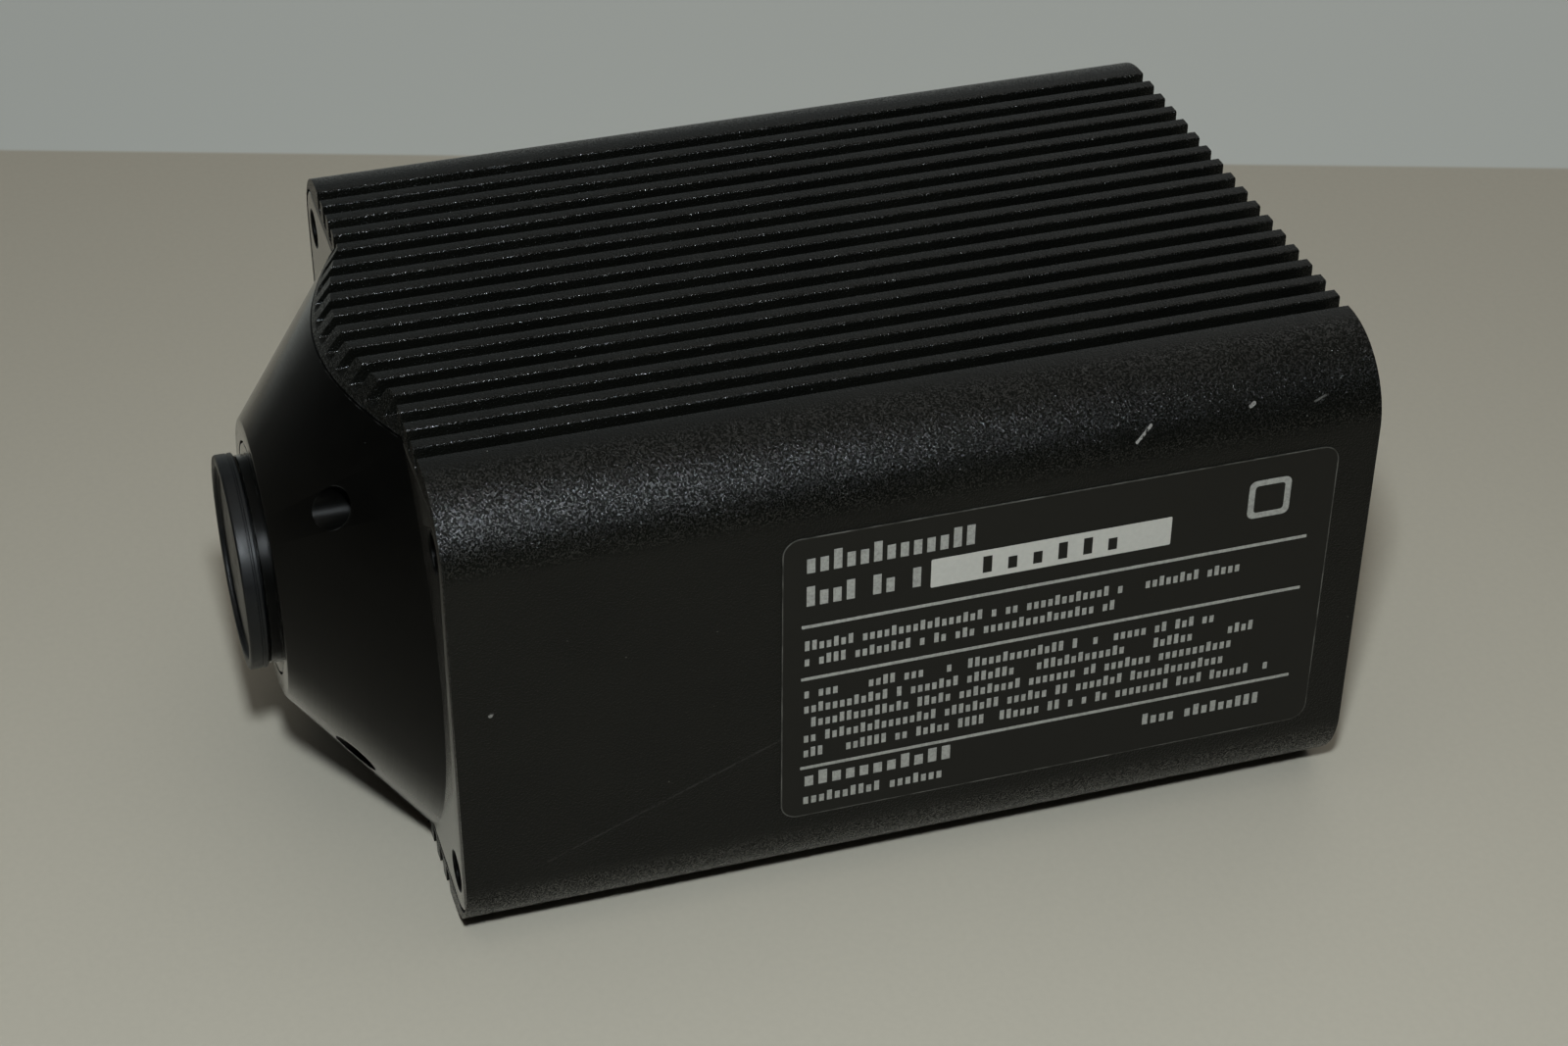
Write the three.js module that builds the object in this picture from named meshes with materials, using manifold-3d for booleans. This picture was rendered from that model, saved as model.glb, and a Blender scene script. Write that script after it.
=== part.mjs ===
// A microscope camera head: a finned aluminium housing with a conical nose that
// carries a one-inch threaded lens mount, closed by a dust cap.
// Millimetres, +Z up. The lens points along -Y, and the labelled side faces +X.
// The origin is under the middle of the whole object, on the surface it rests on.

import * as THREE from 'three';
import { mergeVertices } from 'three/addons/utils/BufferGeometryUtils.js';
import Module from 'manifold-3d';

const wasm = await Module();
wasm.setup();

// ---------------------------------------------------------------- driving sizes
const gap = 0.3;                       // between faces that meet
const bodyWidth = 98.6;
const bodyHeight = 74;
const bodyLength = 129.7;
const shoulderRadius = 12;
const finCount = 16;                   // on the top, and again underneath
const finPitch = 4.36;
const finWidth = 2.1;
const finDepth = 3.0;
const seamHeight = 33.2;               // from the axis to the joint between nose and fins
const cavityWidth = 88;
const cavityHeight = 59;
const screwX = 43;                     // corner screws, from the axis
const screwZ = 27.1;
const bossSize = 9.5;                  // corner material left around those screws

const noseLength = 17.55;              // from the front face of the ears to the land
const landRadius = 20;
const coneBaseRadius = 41.8;
const platePocketDepth = 10;
const plateHalfWidth = 48.2;
const plateCornerRadius = 5.6;
const nosePocketRadius = 22;           // holds the sensor chamber
const nosePocketFloor = -7;
const noseScrewCircle = 29.87;         // screws through the cone, at 45 degrees
const noseScrewFloor = 1.5;
const apertureRadius = 11;              // clear opening behind the lens
const ringSeatRadius = 16.9;
const ringSeatFloor = -10.5;

const mountFace = -19.0;               // the face a lens seats on
const mountThreadRadius = 12.7;
const mountFocalDistance = 17.526;
const capFlangeRadius = 15.45;
const capFlangeThickness = 2.9;

const rearPanelThickness = 3;
const rearPanelHalfWidth = 46;
const rearPanelHalfHeight = 32;
const socketReach = 6;                 // how far the rear sockets stand out

const labelLength = 79.2;
const labelHeight = 47.4;
const labelStart = 44.7;
const labelThickness = 0.3;

const halfWidth = bodyWidth / 2;
const halfHeight = bodyHeight / 2;
const floorHeight = halfHeight - finDepth;
const capFront = mountFace - capFlangeThickness;
const sensorPlane = mountFace + mountFocalDistance;
const middleY = (capFront + bodyLength + socketReach) / 2;

// ---------------------------------------------------------------------- finishes
const finish = (color, roughness, metalness) =>
  new THREE.MeshStandardMaterial({ color, roughness, metalness });

const texturedBlack = finish(0x1d1e1c, 0.62, 0.35);
const satinBlack = finish(0x161716, 0.42, 0.5);
const blackPlastic = finish(0x1a1b1b, 0.38, 0.0);
const blackSteel = finish(0x202020, 0.35, 0.8);
const labelBlack = finish(0x151515, 0.45, 0.0);
const bareAluminium = finish(0xa7a9aa, 0.4, 1.0);
const clearGlass = finish(0xcfe4e4, 0.05, 0.0);
const ceramic = finish(0x6a5548, 0.6, 0.0);
const whiteCeramic = finish(0xe4e2da, 0.6, 0.0);
const boardGreen = finish(0x1f4d2e, 0.5, 0.0);
const brass = finish(0xb49a5a, 0.35, 1.0);
const nickel = finish(0xb8b8b4, 0.3, 1.0);
const rubber = finish(0x141414, 0.85, 0.0);
const lampGreen = finish(0x3f8f4f, 0.25, 0.0);

// ------------------------------------------------------------------ solid helpers
function toSolid(geometry) {
  const bare = geometry.clone();
  bare.deleteAttribute('normal');
  bare.deleteAttribute('uv');
  const merged = mergeVertices(bare, 1e-4);
  return new wasm.Manifold(new wasm.Mesh({
    numProp: 3,
    vertProperties: new Float32Array(merged.attributes.position.array),
    triVerts: new Uint32Array(merged.index.array),
  }));
}

function fromSolid(solid) {
  const mesh = solid.getMesh();
  const geometry = new THREE.BufferGeometry();
  geometry.setAttribute('position', new THREE.BufferAttribute(new Float32Array(mesh.vertProperties), 3));
  geometry.setIndex(new THREE.BufferAttribute(new Uint32Array(mesh.triVerts), 1));
  return geometry;
}

// An outline in X and Z, drawn out along Y from one place to another.
function drawn(shape, fromY, toY, curveSegments = 8) {
  const settings = { depth: toY - fromY, bevelEnabled: false, curveSegments };
  const geometry = new THREE.ExtrudeGeometry(shape, settings);
  return toSolid(geometry.rotateX(Math.PI / 2).translate(0, toY, 0));
}

// A turned piece on the optical axis, from [radius, y] points of its half section,
// which runs from axis to axis, or round a ring and back to its first point.
function turned(points, segments = 48) {
  const section = points.map(([r, y]) => new THREE.Vector2(r, y));
  if (THREE.ShapeUtils.area(section) < 0) section.reverse();
  if (section[0].x > 0) section.push(section[0]);
  return toSolid(new THREE.LatheGeometry(section, segments));
}

function rod(radius, fromY, toY, segments = 24) {
  return turned([[0, fromY], [radius, fromY], [radius, toY], [0, toY]], segments);
}

function tube(inner, outer, fromY, toY, segments = 48) {
  return turned([[inner, fromY], [outer, fromY], [outer, toY], [inner, toY]], segments);
}

function block(sizeX, sizeY, sizeZ, x = 0, y = 0, z = 0) {
  return toSolid(new THREE.BoxGeometry(sizeX, sizeY, sizeZ).translate(x, y, z));
}

function roundedRectangle(halfX, halfZ, radius) {
  const shape = new THREE.Shape();
  shape.moveTo(halfX, -halfZ + radius);
  shape.lineTo(halfX, halfZ - radius);
  shape.absarc(halfX - radius, halfZ - radius, radius, 0, Math.PI / 2);
  shape.lineTo(-halfX + radius, halfZ);
  shape.absarc(-halfX + radius, halfZ - radius, radius, Math.PI / 2, Math.PI);
  shape.lineTo(-halfX, -halfZ + radius);
  shape.absarc(-halfX + radius, -halfZ + radius, radius, Math.PI, Math.PI * 1.5);
  shape.lineTo(halfX - radius, -halfZ);
  shape.absarc(halfX - radius, -halfZ + radius, radius, Math.PI * 1.5, Math.PI * 2);
  return shape;
}

const corners = [[1, 1], [-1, 1], [-1, -1], [1, -1]];

// ------------------------------------------------------------------- the assembly
// Everything inside is placed from the optical axis and the front face of the ears.
const assembly = new THREE.Group();
assembly.position.set(0, -middleY, halfHeight);

function add(name, solid, material, x = 0, y = 0, z = 0) {
  const mesh = new THREE.Mesh(fromSolid(solid), material);
  mesh.name = name;
  mesh.position.set(x, y, z);
  assembly.add(mesh);
}

// The cone that the nose is turned to, and that also cuts the ends of the fins.
const cone = turned(
  [[0, -noseLength], [landRadius, -noseLength], [coneBaseRadius, 0], [coneBaseRadius, 2], [0, 2]], 72);

// ------------------------------------------------------------------------ housing
// The extrusion: fins above and below between two round shoulders, flat sides.
function finnedOutline() {
  const shape = new THREE.Shape();
  const centre = halfHeight - shoulderRadius;
  const arcX = halfWidth - shoulderRadius;
  const innerX = (finCount * finPitch + finPitch - finWidth) / 2;
  const finStart = (i) => (i - (finCount - 1) / 2) * finPitch - finWidth / 2;

  shape.moveTo(halfWidth, -centre);
  shape.lineTo(halfWidth, centre);
  shape.absarc(arcX, centre, shoulderRadius, 0, Math.PI / 2);
  shape.lineTo(innerX, halfHeight);
  shape.lineTo(innerX, floorHeight);
  for (let i = finCount - 1; i >= 0; i--) {
    shape.lineTo(finStart(i) + finWidth, floorHeight);
    shape.lineTo(finStart(i) + finWidth, halfHeight);
    shape.lineTo(finStart(i), halfHeight);
    shape.lineTo(finStart(i), floorHeight);
  }
  shape.lineTo(-innerX, floorHeight);
  shape.lineTo(-innerX, halfHeight);
  shape.lineTo(-arcX, halfHeight);
  shape.absarc(-arcX, centre, shoulderRadius, Math.PI / 2, Math.PI);
  shape.lineTo(-halfWidth, -centre);
  shape.absarc(-arcX, -centre, shoulderRadius, Math.PI, Math.PI * 1.5);
  shape.lineTo(-innerX, -halfHeight);
  shape.lineTo(-innerX, -floorHeight);
  for (let i = 0; i < finCount; i++) {
    shape.lineTo(finStart(i), -floorHeight);
    shape.lineTo(finStart(i), -halfHeight);
    shape.lineTo(finStart(i) + finWidth, -halfHeight);
    shape.lineTo(finStart(i) + finWidth, -floorHeight);
  }
  shape.lineTo(innerX, -floorHeight);
  shape.lineTo(innerX, -halfHeight);
  shape.lineTo(arcX, -halfHeight);
  shape.absarc(arcX, -centre, shoulderRadius, Math.PI * 1.5, Math.PI * 2);
  return shape;
}

// The inside of the extrusion keeps a square of metal in each corner for the screws.
function cavityOutline() {
  const x = cavityWidth / 2;
  const z = cavityHeight / 2;
  const shape = new THREE.Shape();
  shape.moveTo(x, -z + bossSize);
  shape.lineTo(x, z - bossSize);
  shape.lineTo(x - bossSize, z - bossSize);
  shape.lineTo(x - bossSize, z);
  shape.lineTo(-x + bossSize, z);
  shape.lineTo(-x + bossSize, z - bossSize);
  shape.lineTo(-x, z - bossSize);
  shape.lineTo(-x, -z + bossSize);
  shape.lineTo(-x + bossSize, -z + bossSize);
  shape.lineTo(-x + bossSize, -z);
  shape.lineTo(x - bossSize, -z);
  shape.lineTo(x - bossSize, -z + bossSize);
  return shape;
}

const screwShank = 1.5;
const screwHead = 2.75;
const headHeight = 3;
const frontScrewEnd = 20;
const rearScrewEnd = bodyLength - 13;

function makeHousing() {
  const behindEars = block(bodyWidth + 2, bodyLength, bodyHeight + 2, 0, bodyLength / 2, 0);
  const frontPocket = drawn(
    roundedRectangle(plateHalfWidth + gap, seamHeight + gap / 2, plateCornerRadius + gap),
    -1, platePocketDepth + gap);
  const underRoof = block(bodyWidth, noseLength * 2, 2 * seamHeight + gap, 0, -noseLength, 0);
  const rearPocket = drawn(
    roundedRectangle(rearPanelHalfWidth + gap, rearPanelHalfHeight + gap, 5),
    bodyLength - rearPanelThickness - gap, bodyLength + 1);
  const labelPocket = block(2, labelLength + 2 * gap, labelHeight + 2 * gap,
    halfWidth + 1 - labelThickness / 2, labelStart + labelLength / 2, 0);

  let housing = drawn(finnedOutline(), -noseLength, bodyLength)
    .intersect(cone.add(behindEars))
    .subtract(drawn(cavityOutline(), -1, bodyLength + 1))
    .subtract(frontPocket)
    .subtract(underRoof)
    .subtract(rearPocket)
    .subtract(labelPocket);
  for (const [sx, sz] of corners) {
    const front = rod(screwShank + gap, platePocketDepth - 1, frontScrewEnd + gap, 10);
    const rear = rod(screwShank + gap, rearScrewEnd - gap, bodyLength + 1, 10);
    housing = housing
      .subtract(front.translate(sx * screwX, 0, sz * screwZ))
      .subtract(rear.translate(sx * screwX, 0, sz * screwZ));
  }
  return housing;
}
add('housing', makeHousing(), texturedBlack);

// --------------------------------------------------------------------- nose block
// Turned cone and square plate in one piece; its flat corners take the ear screws.
const noseScrewOffset = noseScrewCircle / Math.SQRT2;
const earCounterboreRadius = 2.9;
const earCounterboreFloor = 4;
const noseCounterboreRadius = 2.9;

function makeNoseBlock() {
  const betweenRoofs = block(bodyWidth, 4 * noseLength, 2 * seamHeight - gap);
  const plate = drawn(
    roundedRectangle(plateHalfWidth, seamHeight - gap / 2, plateCornerRadius), 0, platePocketDepth);
  let nose = cone.intersect(betweenRoofs).add(plate)
    .subtract(rod(ringSeatRadius, -noseLength - 1, ringSeatFloor, 48))
    .subtract(rod(apertureRadius, ringSeatFloor - 1, nosePocketFloor + 1, 24))
    .subtract(rod(nosePocketRadius, nosePocketFloor, platePocketDepth + 1, 32));
  for (const [sx, sz] of corners) {
    const earHole = rod(earCounterboreRadius, -1, earCounterboreFloor, 20)
      .add(rod(screwShank + gap, 0, platePocketDepth + 1, 10));
    const noseHole = rod(noseCounterboreRadius, -noseLength, noseScrewFloor, 20)
      .add(rod(screwShank + gap, 0, platePocketDepth + 1, 10));
    nose = nose
      .subtract(earHole.translate(sx * screwX, 0, sz * screwZ))
      .subtract(noseHole.translate(sx * noseScrewOffset, 0, sz * noseScrewOffset));
  }
  return nose;
}
add('nose_block', makeNoseBlock(), satinBlack);

// ------------------------------------------------------------ lens mount and its cap
// The ring screws in the nose, flush with the land, with a raised seat for a lens.
const raisedSeatRadius = 15;
add('mount_ring', turned([
  [mountThreadRadius, ringSeatFloor - gap],
  [ringSeatRadius - gap, ringSeatFloor - gap],
  [ringSeatRadius - gap, -noseLength],
  [raisedSeatRadius, -noseLength],
  [raisedSeatRadius, mountFace],
  [mountThreadRadius + 0.5, mountFace],
  [mountThreadRadius, mountFace + 0.5],
], 48), satinBlack);

// The cap's flange covers the mount; its spigot goes into the thread, and it is hollow.
const capSpigotRadius = mountThreadRadius - gap;
const capSpigotEnd = mountFace + 4.5;
const capWall = 1.2;
const capRimWidth = 1.6;
const capRecess = 0.8;
add('dust_cap', turned([
  [0, capFront + capRecess],
  [capFlangeRadius - capRimWidth, capFront + capRecess],
  [capFlangeRadius - capRimWidth, capFront],
  [capFlangeRadius - 0.4, capFront],
  [capFlangeRadius, capFront + 0.4],
  [capFlangeRadius, mountFace - gap],
  [capSpigotRadius, mountFace - gap],
  [capSpigotRadius, capSpigotEnd],
  [capSpigotRadius - capWall, capSpigotEnd],
  [capSpigotRadius - capWall, mountFace - gap],
  [0, mountFace - gap],
], 48), blackPlastic);

// ----------------------------------------------------------------------- fasteners
// Socket-head cap screws, standing along Y with the head towards -Y.
const capSocketRadius = 1.45;
const capSocketDepth = 2;
function capScrew(length) {
  const hexagon = new THREE.CylinderGeometry(capSocketRadius, capSocketRadius, 2 * capSocketDepth, 6);
  return rod(screwHead, 0, headHeight, 20)
    .add(rod(screwShank, headHeight - 0.5, headHeight + length, 10))
    .subtract(toSolid(hexagon));
}

const earScrewSeat = earCounterboreFloor - headHeight - gap / 2;
const noseScrewSeat = noseScrewFloor - headHeight - gap / 2;
const noseScrewLength = 12.5;
corners.forEach(([sx, sz], i) => {
  add(`ear_screw_${i + 1}`, capScrew(frontScrewEnd - earCounterboreFloor), blackSteel,
    sx * screwX, earScrewSeat, sz * screwZ);
  add(`nose_screw_${i + 1}`, capScrew(noseScrewLength), blackSteel,
    sx * noseScrewOffset, noseScrewSeat, sz * noseScrewOffset);
});

// ---------------------------------------------------------------------- rear panel
const dataSocketX = -14;
const dataSocketHalfWidth = 19.5;
const dataSocketHalfHeight = 4.7;
const jackScrewOffset = 23.5;
const powerSocketX = 26;
const powerSocketRadius = 6;
const lampX = 26;
const lampZ = 17;
const lampRadius = 1.6;
const panelInner = bodyLength - rearPanelThickness;

function dataSocketOutline(inset) {
  const wide = dataSocketHalfWidth - inset;
  const narrow = wide - 2;
  const z = dataSocketHalfHeight - inset;
  const shape = new THREE.Shape();
  shape.moveTo(-narrow, -z);
  shape.lineTo(narrow, -z);
  shape.lineTo(wide, z);
  shape.lineTo(-wide, z);
  return shape;
}

function makeRearPanel() {
  let panel = drawn(
    roundedRectangle(rearPanelHalfWidth, rearPanelHalfHeight, 4.7), panelInner, bodyLength);
  panel = panel
    .subtract(drawn(dataSocketOutline(-gap), panelInner - 1, bodyLength + 1).translate(dataSocketX, 0, 0))
    .subtract(rod(powerSocketRadius + gap, panelInner - 1, bodyLength + 1, 32).translate(powerSocketX, 0, 0))
    .subtract(rod(lampRadius + gap, panelInner - 1, bodyLength + 1, 16).translate(lampX, 0, lampZ));
  for (const side of [-1, 1]) {
    const hole = rod(screwShank + gap, panelInner - 1, bodyLength + 1, 10);
    panel = panel.subtract(hole.translate(dataSocketX + side * jackScrewOffset, 0, 0));
  }
  for (const [sx, sz] of corners) {
    const hole = rod(screwShank + gap, panelInner - 1, bodyLength + 1, 10);
    panel = panel.subtract(hole.translate(sx * screwX, 0, sz * screwZ));
  }
  return panel;
}
add('rear_panel', makeRearPanel(), satinBlack);

// Button-head screws hold the panel; their heads stand on it, towards +Y.
const buttonHeight = 1.7;
const buttonSocketRadius = 1.15;
const buttonSocketDepth = 1;
corners.forEach(([sx, sz], i) => {
  const hexagon = new THREE.CylinderGeometry(buttonSocketRadius, buttonSocketRadius, 2 * buttonSocketDepth, 6)
    .translate(0, bodyLength + gap + buttonHeight, 0);
  const screw = turned([
    [0, rearScrewEnd], [screwShank, rearScrewEnd], [screwShank, bodyLength + gap],
    [screwHead, bodyLength + gap], [screwHead - 0.35, bodyLength + gap + 1.0],
    [screwHead - 1.1, bodyLength + gap + buttonHeight], [0, bodyLength + gap + buttonHeight],
  ], 18).subtract(toSolid(hexagon));
  add(`rear_screw_${i + 1}`, screw, blackSteel, sx * screwX, 0, sz * screwZ);
});

// Rear sockets: a shielded data socket between two jack screws, a round power socket.
const socketTail = panelInner - 8;
const jackNutRadius = 2.75;
const powerBoreRadius = 4.6;
add('data_socket_shell',
  drawn(dataSocketOutline(0), socketTail, bodyLength + socketReach)
    .subtract(drawn(dataSocketOutline(0.5), socketTail - 1, bodyLength + socketReach + 1)),
  nickel, dataSocketX);
add('data_socket_insert', drawn(dataSocketOutline(0.8), socketTail - 3, bodyLength + socketReach - 1.5),
  blackPlastic, dataSocketX);
[-1, 1].forEach((side, i) => {
  const nut = new THREE.CylinderGeometry(jackNutRadius, jackNutRadius, socketReach - gap, 6)
    .translate(0, bodyLength + (socketReach + gap) / 2, 0);
  const screw = toSolid(nut).add(rod(screwShank, socketTail, bodyLength + 1, 10));
  add(`jack_screw_${i + 1}`, screw, nickel, dataSocketX + side * jackScrewOffset);
});
add('power_socket_shell', turned([
  [powerBoreRadius, socketTail], [powerSocketRadius, socketTail], [powerSocketRadius, bodyLength + gap],
  [powerSocketRadius + 1.5, bodyLength + gap], [powerSocketRadius + 1.5, bodyLength + 2],
  [powerSocketRadius, bodyLength + 2.5], [powerSocketRadius, bodyLength + socketReach],
  [powerBoreRadius, bodyLength + socketReach],
], 32), nickel, powerSocketX);
add('power_socket_insert', rod(powerBoreRadius - gap, socketTail - 3, bodyLength + socketReach - 2.5, 24),
  blackPlastic, powerSocketX);
add('status_lamp', turned([
  [0, socketTail + 4], [lampRadius, socketTail + 4], [lampRadius, bodyLength + 0.3],
  [lampRadius * 0.7, bodyLength + 0.9], [0, bodyLength + 1.1],
], 16), lampGreen, lampX, 0, lampZ);

// --------------------------------------------------------------------------- label
// A plastic film in a shallow pocket of the +X side, standing slightly proud of it.
add('label_plate',
  toSolid(new THREE.BoxGeometry(labelThickness, labelLength, labelHeight)),
  labelBlack, halfWidth, labelStart + labelLength / 2, 0);

// ------------------------------------------------------------------- optics inside
const chamberFront = nosePocketFloor + gap;
const chamberBore = 18;
const windowSeat = chamberFront + 1.6;
const windowThickness = 1.0;
const windowRadius = 12.7;
const chamberFlangeRear = platePocketDepth + gap + 4;

// An infrared-blocking filter sits in the back of the mount ring, behind a thin ring.
const filterRadius = mountThreadRadius - gap;
const filterBack = ringSeatFloor - 0.5;
const filterThickness = 1.5;
const filterRingFront = capSpigotEnd + gap;
add('blocking_filter', rod(filterRadius, filterBack - filterThickness, filterBack, 32), clearGlass);
add('filter_ring',
  tube(apertureRadius, filterRadius, filterRingFront, filterBack - filterThickness - gap, 32), satinBlack);
const sealGroove = { inner: 19.4, from: 9.3, to: platePocketDepth + gap };
const sealRadius = 20.3;
const sealThickness = 0.8;
add('chamber_seal', toSolid(
  new THREE.TorusGeometry(sealRadius, sealThickness / 2, 6, 24)
    .rotateX(Math.PI / 2)
    .translate(0, (sealGroove.from + sealGroove.to) / 2, 0)), rubber);

const chamberPlate = block(62, 4, 54, 0, chamberFlangeRear - 2, 0);
let chamber = rod(nosePocketRadius - gap, chamberFront, chamberFlangeRear - 1, 32)
  .subtract(tube(sealGroove.inner, nosePocketRadius + 1, sealGroove.from, sealGroove.to, 40))
  .add(chamberPlate)
  .subtract(rod(apertureRadius, chamberFront - 1, windowSeat + 0.5, 24))
  .subtract(rod(windowRadius + gap, windowSeat, windowSeat + 1.5, 24))
  .subtract(rod(chamberBore, windowSeat + 1.4, chamberFlangeRear + 1, 32));
for (const [sx, sz] of corners) {
  const hole = rod(screwShank + gap, platePocketDepth, chamberFlangeRear + 1, 10);
  chamber = chamber.subtract(hole.translate(sx * noseScrewOffset, 0, sz * noseScrewOffset));
}
add('sensor_chamber', chamber, bareAluminium);
add('chamber_window', rod(windowRadius, windowSeat + gap, windowSeat + gap + windowThickness, 24),
  clearGlass);

// The image sensor, its cover glass and the cooler behind it.
add('sensor_package',
  block(24, 2.6, 22, 0, sensorPlane + 0.6, 0)
    .subtract(block(18, 1, 15, 0, sensorPlane - 0.6, 0)),
  ceramic);
add('sensor_cover_glass', block(20, 0.7, 17, 0, sensorPlane - 1.4, 0), clearGlass);
const coolerFront = sensorPlane + 1.9 + gap;
const coolerThickness = 3.6;
add('cooler_module', block(22, coolerThickness, 22, 0, coolerFront + coolerThickness / 2, 0), whiteCeramic);
const spreaderFront = coolerFront + coolerThickness + gap;
const spreaderPlateFront = chamberFlangeRear + gap;
const spreaderPlateThickness = 5;
const spreaderPlateY = spreaderPlateFront + spreaderPlateThickness / 2;
add('heat_spreader',
  rod(chamberBore - gap, spreaderFront, spreaderPlateFront + 1, 24)
    .add(block(66, spreaderPlateThickness, cavityHeight - 2 * gap, 0, spreaderPlateY, 0)),
  bareAluminium);

// ------------------------------------------------------------------------- circuits
const boardThickness = 1.6;
const boardStart = 32;
const boardLength = 84;
const lowerBoardZ = -14;
const upperBoardZ = 6;
const sensorBoardY = spreaderPlateFront + spreaderPlateThickness + gap + boardThickness / 2;
add('sensor_board', block(66, boardThickness, 40, 0, sensorBoardY, 0), boardGreen);

function makeBoard(width, chips) {
  let board = block(width, boardLength, boardThickness, 0, boardStart + boardLength / 2, 0);
  for (const [sizeX, sizeY, sizeZ, x, y] of chips) {
    const chip = block(sizeX, sizeY, sizeZ + 0.2, x, boardStart + y, (boardThickness + sizeZ) / 2 - 0.1);
    board = board.add(chip);
  }
  return board;
}
add('main_board', makeBoard(84, [[28, 28, 2.4, -16, 26], [18, 14, 2, 18, 22], [22, 10, 2, 12, 58]]),
  boardGreen, 0, 0, lowerBoardZ);
add('power_board', makeBoard(70, [[14, 14, 9, -16, 30], [10, 22, 6, 14, 50]]),
  boardGreen, 0, 0, upperBoardZ);

const spacerLength = upperBoardZ - lowerBoardZ - boardThickness - 2 * gap;
corners.forEach(([sx, sy], i) => {
  const spacer = new THREE.CylinderGeometry(2.75, 2.75, spacerLength, 6).rotateX(Math.PI / 2);
  add(`board_spacer_${i + 1}`, toSolid(spacer), brass,
    sx * 30, boardStart + boardLength / 2 + sy * (boardLength / 2 - 5), (upperBoardZ + lowerBoardZ) / 2);
});

export default assembly;
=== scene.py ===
"""A microscope camera head, with a finned housing, a conical nose, a lens mount and rear sockets.

Metres, +Z up. The lens points along -Y, the labelled side faces +X, and the lower fins lie at Z = 0.
"""

import math

import bmesh
import bpy
from mathutils import Matrix, Vector


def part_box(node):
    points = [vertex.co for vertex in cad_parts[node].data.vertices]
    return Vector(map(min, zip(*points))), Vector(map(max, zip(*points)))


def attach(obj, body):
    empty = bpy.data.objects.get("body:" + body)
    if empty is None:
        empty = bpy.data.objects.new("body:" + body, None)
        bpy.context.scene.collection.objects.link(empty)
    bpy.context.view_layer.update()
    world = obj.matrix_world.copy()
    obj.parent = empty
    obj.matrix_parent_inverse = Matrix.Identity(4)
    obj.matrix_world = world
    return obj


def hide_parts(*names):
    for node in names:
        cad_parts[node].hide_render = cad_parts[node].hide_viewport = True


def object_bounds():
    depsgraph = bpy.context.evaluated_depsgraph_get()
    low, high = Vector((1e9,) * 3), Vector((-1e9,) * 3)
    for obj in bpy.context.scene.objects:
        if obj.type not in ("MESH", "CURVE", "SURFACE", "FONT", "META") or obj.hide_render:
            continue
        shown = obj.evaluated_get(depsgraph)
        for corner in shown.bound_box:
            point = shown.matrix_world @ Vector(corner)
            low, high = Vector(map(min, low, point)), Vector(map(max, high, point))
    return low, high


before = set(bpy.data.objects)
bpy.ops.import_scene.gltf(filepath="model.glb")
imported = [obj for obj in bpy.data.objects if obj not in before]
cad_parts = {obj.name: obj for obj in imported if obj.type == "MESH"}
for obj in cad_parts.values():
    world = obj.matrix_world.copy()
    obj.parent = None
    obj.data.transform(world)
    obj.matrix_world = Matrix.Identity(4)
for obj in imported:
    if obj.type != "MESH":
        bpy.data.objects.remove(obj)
cad_low, cad_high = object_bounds()
scene = bpy.context.scene
scene.view_settings.view_transform = "Standard"

mm = 0.001

# ---------------------------------------------------------------------------------------------
# The camera
# A short telephoto that looks down on the labelled side from a little in front of the nose.
camera_place = Vector((354.8, -108.0, 290.9)) * mm
camera_aim = Vector((4.96, -5.99, 29.2)) * mm
camera_roll = math.radians(-0.298)

camera_data = bpy.data.cameras.new("camera")
camera_data.sensor_width = 36
camera_data.lens = 69.785
camera_data.shift_x = 0.03266
camera_data.shift_y = 0.01119
camera_data.clip_start = 0.01
camera_data.clip_end = 20
camera = bpy.data.objects.new("camera", camera_data)
scene.collection.objects.link(camera)
camera.location = camera_place
camera.rotation_mode = "QUATERNION"
camera.rotation_quaternion = (
    (camera_aim - camera_place).to_track_quat("-Z", "Y").to_matrix()
    @ Matrix.Rotation(camera_roll, 3, "Z")
).to_quaternion()
scene.camera = camera


# ---------------------------------------------------------------------------------------------
# The table, with a paler blue-grey surface beyond its far edge, and the lights
# A matt warm grey laminate, lit by one small lamp above the camera, by a ceiling and by a far
# window. The surface beyond the table glows a little, as a lit wall would.
def fill(tree, node, inputs):
    """Sets the inputs of a node. An input is a value or another node's output."""
    for name, value in inputs.items():
        if isinstance(value, bpy.types.NodeSocket):
            tree.links.new(value, node.inputs[name])
        else:
            node.inputs[name].default_value = value
    return node


def put(tree, kind, inputs=None, **settings):
    """Adds a node of that kind with its settings and its inputs."""
    made = tree.nodes.new(kind)
    for name, value in settings.items():
        setattr(made, name, value)
    return fill(tree, made, inputs or {})


def calculate(tree, operation, first, second=0.0, third=0.0, clamp=False):
    """The output of a Math node."""
    return put(tree, "ShaderNodeMath", {0: first, 1: second, 2: third}, operation=operation,
               use_clamp=clamp).outputs[0]


def remap(tree, value, low, high, to_low=0.0, to_high=1.0, smooth=False):
    """The value, taken from the range low to high to the range to_low to to_high, and held there."""
    return put(tree, "ShaderNodeMapRange",
               {"Value": value, "From Min": low, "From Max": high, "To Min": to_low, "To Max": to_high},
               interpolation_type="SMOOTHSTEP" if smooth else "LINEAR").outputs["Result"]


def blend_colour(tree, share, first, second, how="MIX"):
    """A colour between two colours."""
    mix = put(tree, "ShaderNodeMix", {0: share, 6: first, 7: second}, data_type="RGBA", blend_type=how)
    return mix.outputs[2]


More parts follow.
